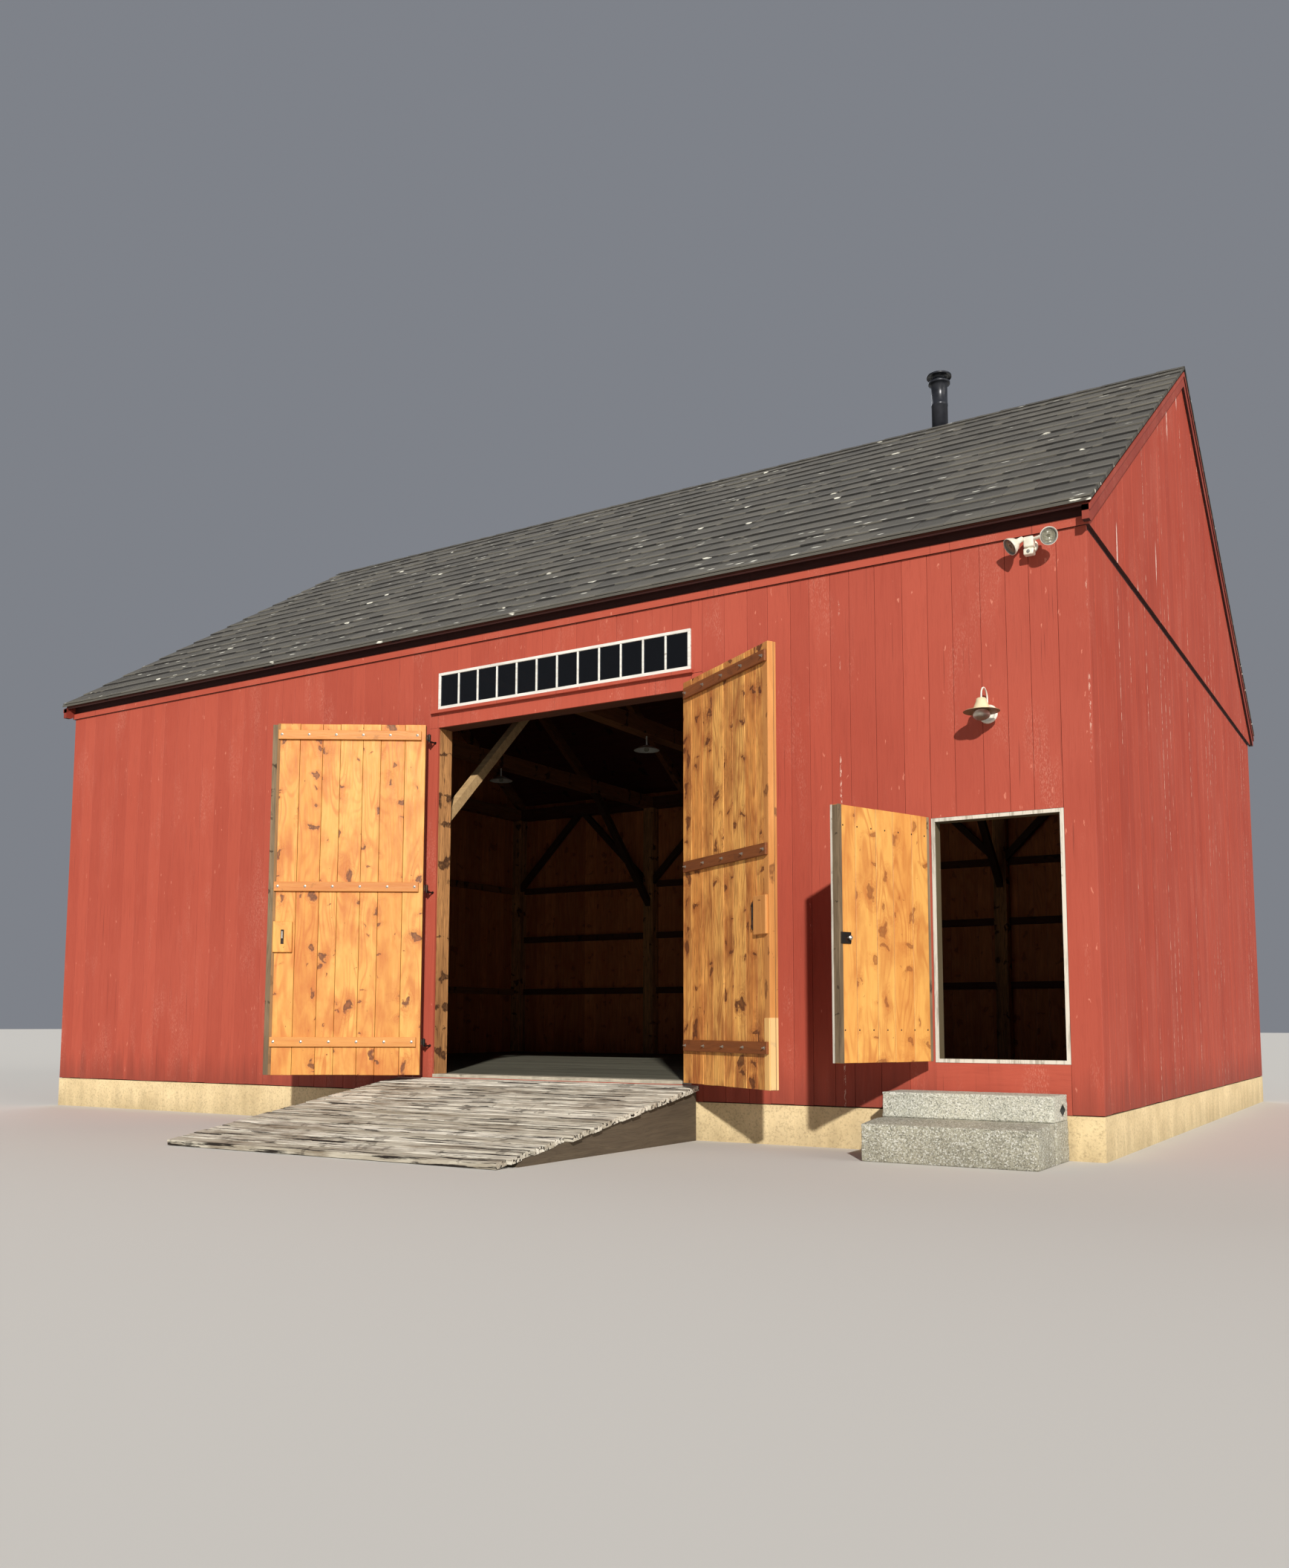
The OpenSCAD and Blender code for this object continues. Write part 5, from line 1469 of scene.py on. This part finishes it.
def buildFloodlight():
    centre = Vector((rightX - floodShape["fromCorner"], frontY, friezeZ - floodShape["drop"]))
    at = Matrix.Translation(centre)
    bm, rings, lenses = startPiece(), startPiece(), startPiece()
    out, radius = floodShape["out"], floodShape["radius"]
    join(bm, lathe([(0, 0), (0.054, 0), (0.058, 0.004), (0.058, 0.022), (0.050, 0.030), (0, 0.030)],
                   32, facing(centre, 90)))
    # housing, the swivel and the sensor under it
    join(bm, board((-0.041, -out - 0.038, -0.026), (0.041, -out + 0.038, 0.064), 0.012, 3),
         place=at)
    join(bm, rod((0, -out, -0.042), (0, -out, -0.020), 0.022, 20), place=at)
    join(bm, board((-0.043, -out - 0.040, -0.090), (0.043, -out + 0.028, -0.036), 0.012, 3),
         place=at)
    join(rings, rod((0, -out - 0.036, -0.064), (0, -out - 0.045, -0.064), 0.014, 16), place=at)
    for spot, tilt, pan in floodShape["heads"]:
        spot = Vector(spot)
        join(bm, rod((0, -out, spot.z), spot, 0.014, 16), place=at)
        head = at @ Matrix.Translation(spot) @ Matrix.Rotation(math.radians(pan), 4, "Z")
        head = head @ Matrix.Rotation(math.radians(tilt + 90), 4, "X")
        join(bm, lathe([(0, -0.024), (0.014, -0.024), (0.021, -0.018), (0.024, 0.020),
                        (0.026, 0.036), (radius - 0.022, 0.060), (radius - 0.006, 0.090),
                        (radius, 0.106), (radius, 0.117), (radius - 0.003, 0.118),
                        (radius - 0.007, 0.104), (0, 0.100)], 36, head))
        join(rings, lathe([(radius - 0.0065, 0.103), (radius - 0.004, 0.116),
                           (radius - 0.012, 0.116), (radius - 0.016, 0.104),
                           (radius - 0.0065, 0.103)], 36, head))
        join(lenses, lathe([(0, 0.101), (radius - 0.016, 0.101), (radius - 0.016, 0.108),
                            (0.048, 0.110), (0.046, 0.107), (0.036, 0.107), (0.034, 0.112),
                            (0.020, 0.112), (0.018, 0.109), (0, 0.110)], 36, head))
    makePiece("flood_body", bm, ["flood"], ["floodlight"], smooth=True)
    makePiece("flood_rings", rings, ["floodRing"], smooth=True)
    makePiece("flood_lenses", lenses, ["lensGlass"], smooth=True)


# each pendant's tie beam face, counted from the left, and its distance from the front
pendantShape = {"at": ((4, 4.400), (2, 5.150)), "aside": 0.1, "footUp": 0.014, "stem": 0.012}


def buildPendants():
    bm, bulbs = startPiece(), startPiece()
    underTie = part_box("tie_beams")[0].z
    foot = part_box("pendant_lamps")[0].z + pendantShape["footUp"]
    tieFaces = sorted({round(v.co.x, 3) for v in cadNodes["tie_beams"].data.vertices})
    for face, back in pendantShape["at"]:
        x, y = tieFaces[face] + pendantShape["aside"], frontY + back
        at = Matrix.Translation((x, y, foot))
        join(bm, lathe([(0, 0.060), (0, 0.066), (0.020, 0.072), (0.050, 0.066), (0.110, 0.042),
                        (0.165, 0.010), (0.175, 0.004), (0.175, 0.0), (0.162, 0.004),
                        (0.108, 0.036), (0.048, 0.058), (0, 0.060)], 40, at))
        join(bm, rod((x, y, foot + 0.064), (x, y, underTie), pendantShape["stem"], 16))
        join(bulbs, lathe([(0, 0.061), (0.018, 0.061), (0.020, 0.042), (0.034, 0.022),
                           (0.034, 0.006), (0.022, -0.010), (0, -0.014)], 24, at))
    makePiece("pendant_shades", bm, ["pendant"], ["pendant_lamps"], smooth=True)
    makePiece("pendant_bulbs", bulbs, ["lensGlass"], smooth=True)


pipeShape = {"radius": 0.102, "wall": 0.003, "cap": 0.1575, "capHigh": 0.150, "drumIn": 0.015}


def buildPipe():
    low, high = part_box("stove_pipe")
    centre = Matrix.Translation(((low.x + high.x) / 2, (low.y + high.y) / 2, 0))
    radius, cap, top = pipeShape["radius"], pipeShape["cap"], high.z
    foot, drum = top - pipeShape["capHigh"], radius - pipeShape["drumIn"]
    inner = radius - pipeShape["wall"]
    bm = startPiece()
    join(bm, lathe([(inner, low.z), (radius, low.z), (radius, foot - 0.30),
                    (radius + 0.003, foot - 0.297), (radius + 0.003, foot - 0.270),
                    (radius, foot - 0.267), (radius, foot - 0.03), (cap - 0.030, foot - 0.004),
                    (cap - 0.020, foot), (cap - 0.020, foot + 0.026), (cap - 0.024, foot + 0.028),
                    (drum, foot + 0.028), (drum, top - 0.044), (cap - 0.003, top - 0.044),
                    (cap - 0.003, top - 0.060), (cap, top - 0.060), (cap, top - 0.036),
                    (cap - 0.008, top - 0.030), (0.100, top - 0.010), (0.050, top - 0.002),
                    (0, top), (0, top - 0.006), (drum - 0.003, top - 0.040),
                    (drum - 0.003, foot + 0.024), (inner, foot + 0.024), (inner, low.z)], 48,
                   centre))
    makePiece("stove_pipe_and_cap", bm, ["pipe"], ["stove_pipe"], smooth=True)


buildBarnLamp()
buildFloodlight()
buildPendants()
buildPipe()
print("lamps and pipe fitted")


keptNodes = {
    "concrete": ["foundation"],
    "timberXShaded": ["sill_beams", "wall_plates", "wall_girts"],
    "braceWood": ["knee_braces"],
    "timberY": ["floor_joists", "tie_beams", "gable_girts", "rafters"],
    "timberZ": ["posts", "side_door_studs"],
    "roofDealShaded": ["roof_boards"],
    "shingles": ["front_roof", "rear_roof"],
    "redTrim": ["front_wall_under_doors"],
    "redPosts": ["door_casings"],
    "greyPlank": ["door_sill"],
    "sideShade": ["ramp_stringers"],
    "whiteUpright": ["side_door_frame"],
    "iron": ["hinge_pintles"],
}


def dressKeptNodes():
    for key, names in keptNodes.items():
        for name in names:
            materials = cadNodes[name].data.materials
            materials.clear()
            materials.append(finishes[key])


dressKeptNodes()
print("finishes given to the kept pieces")
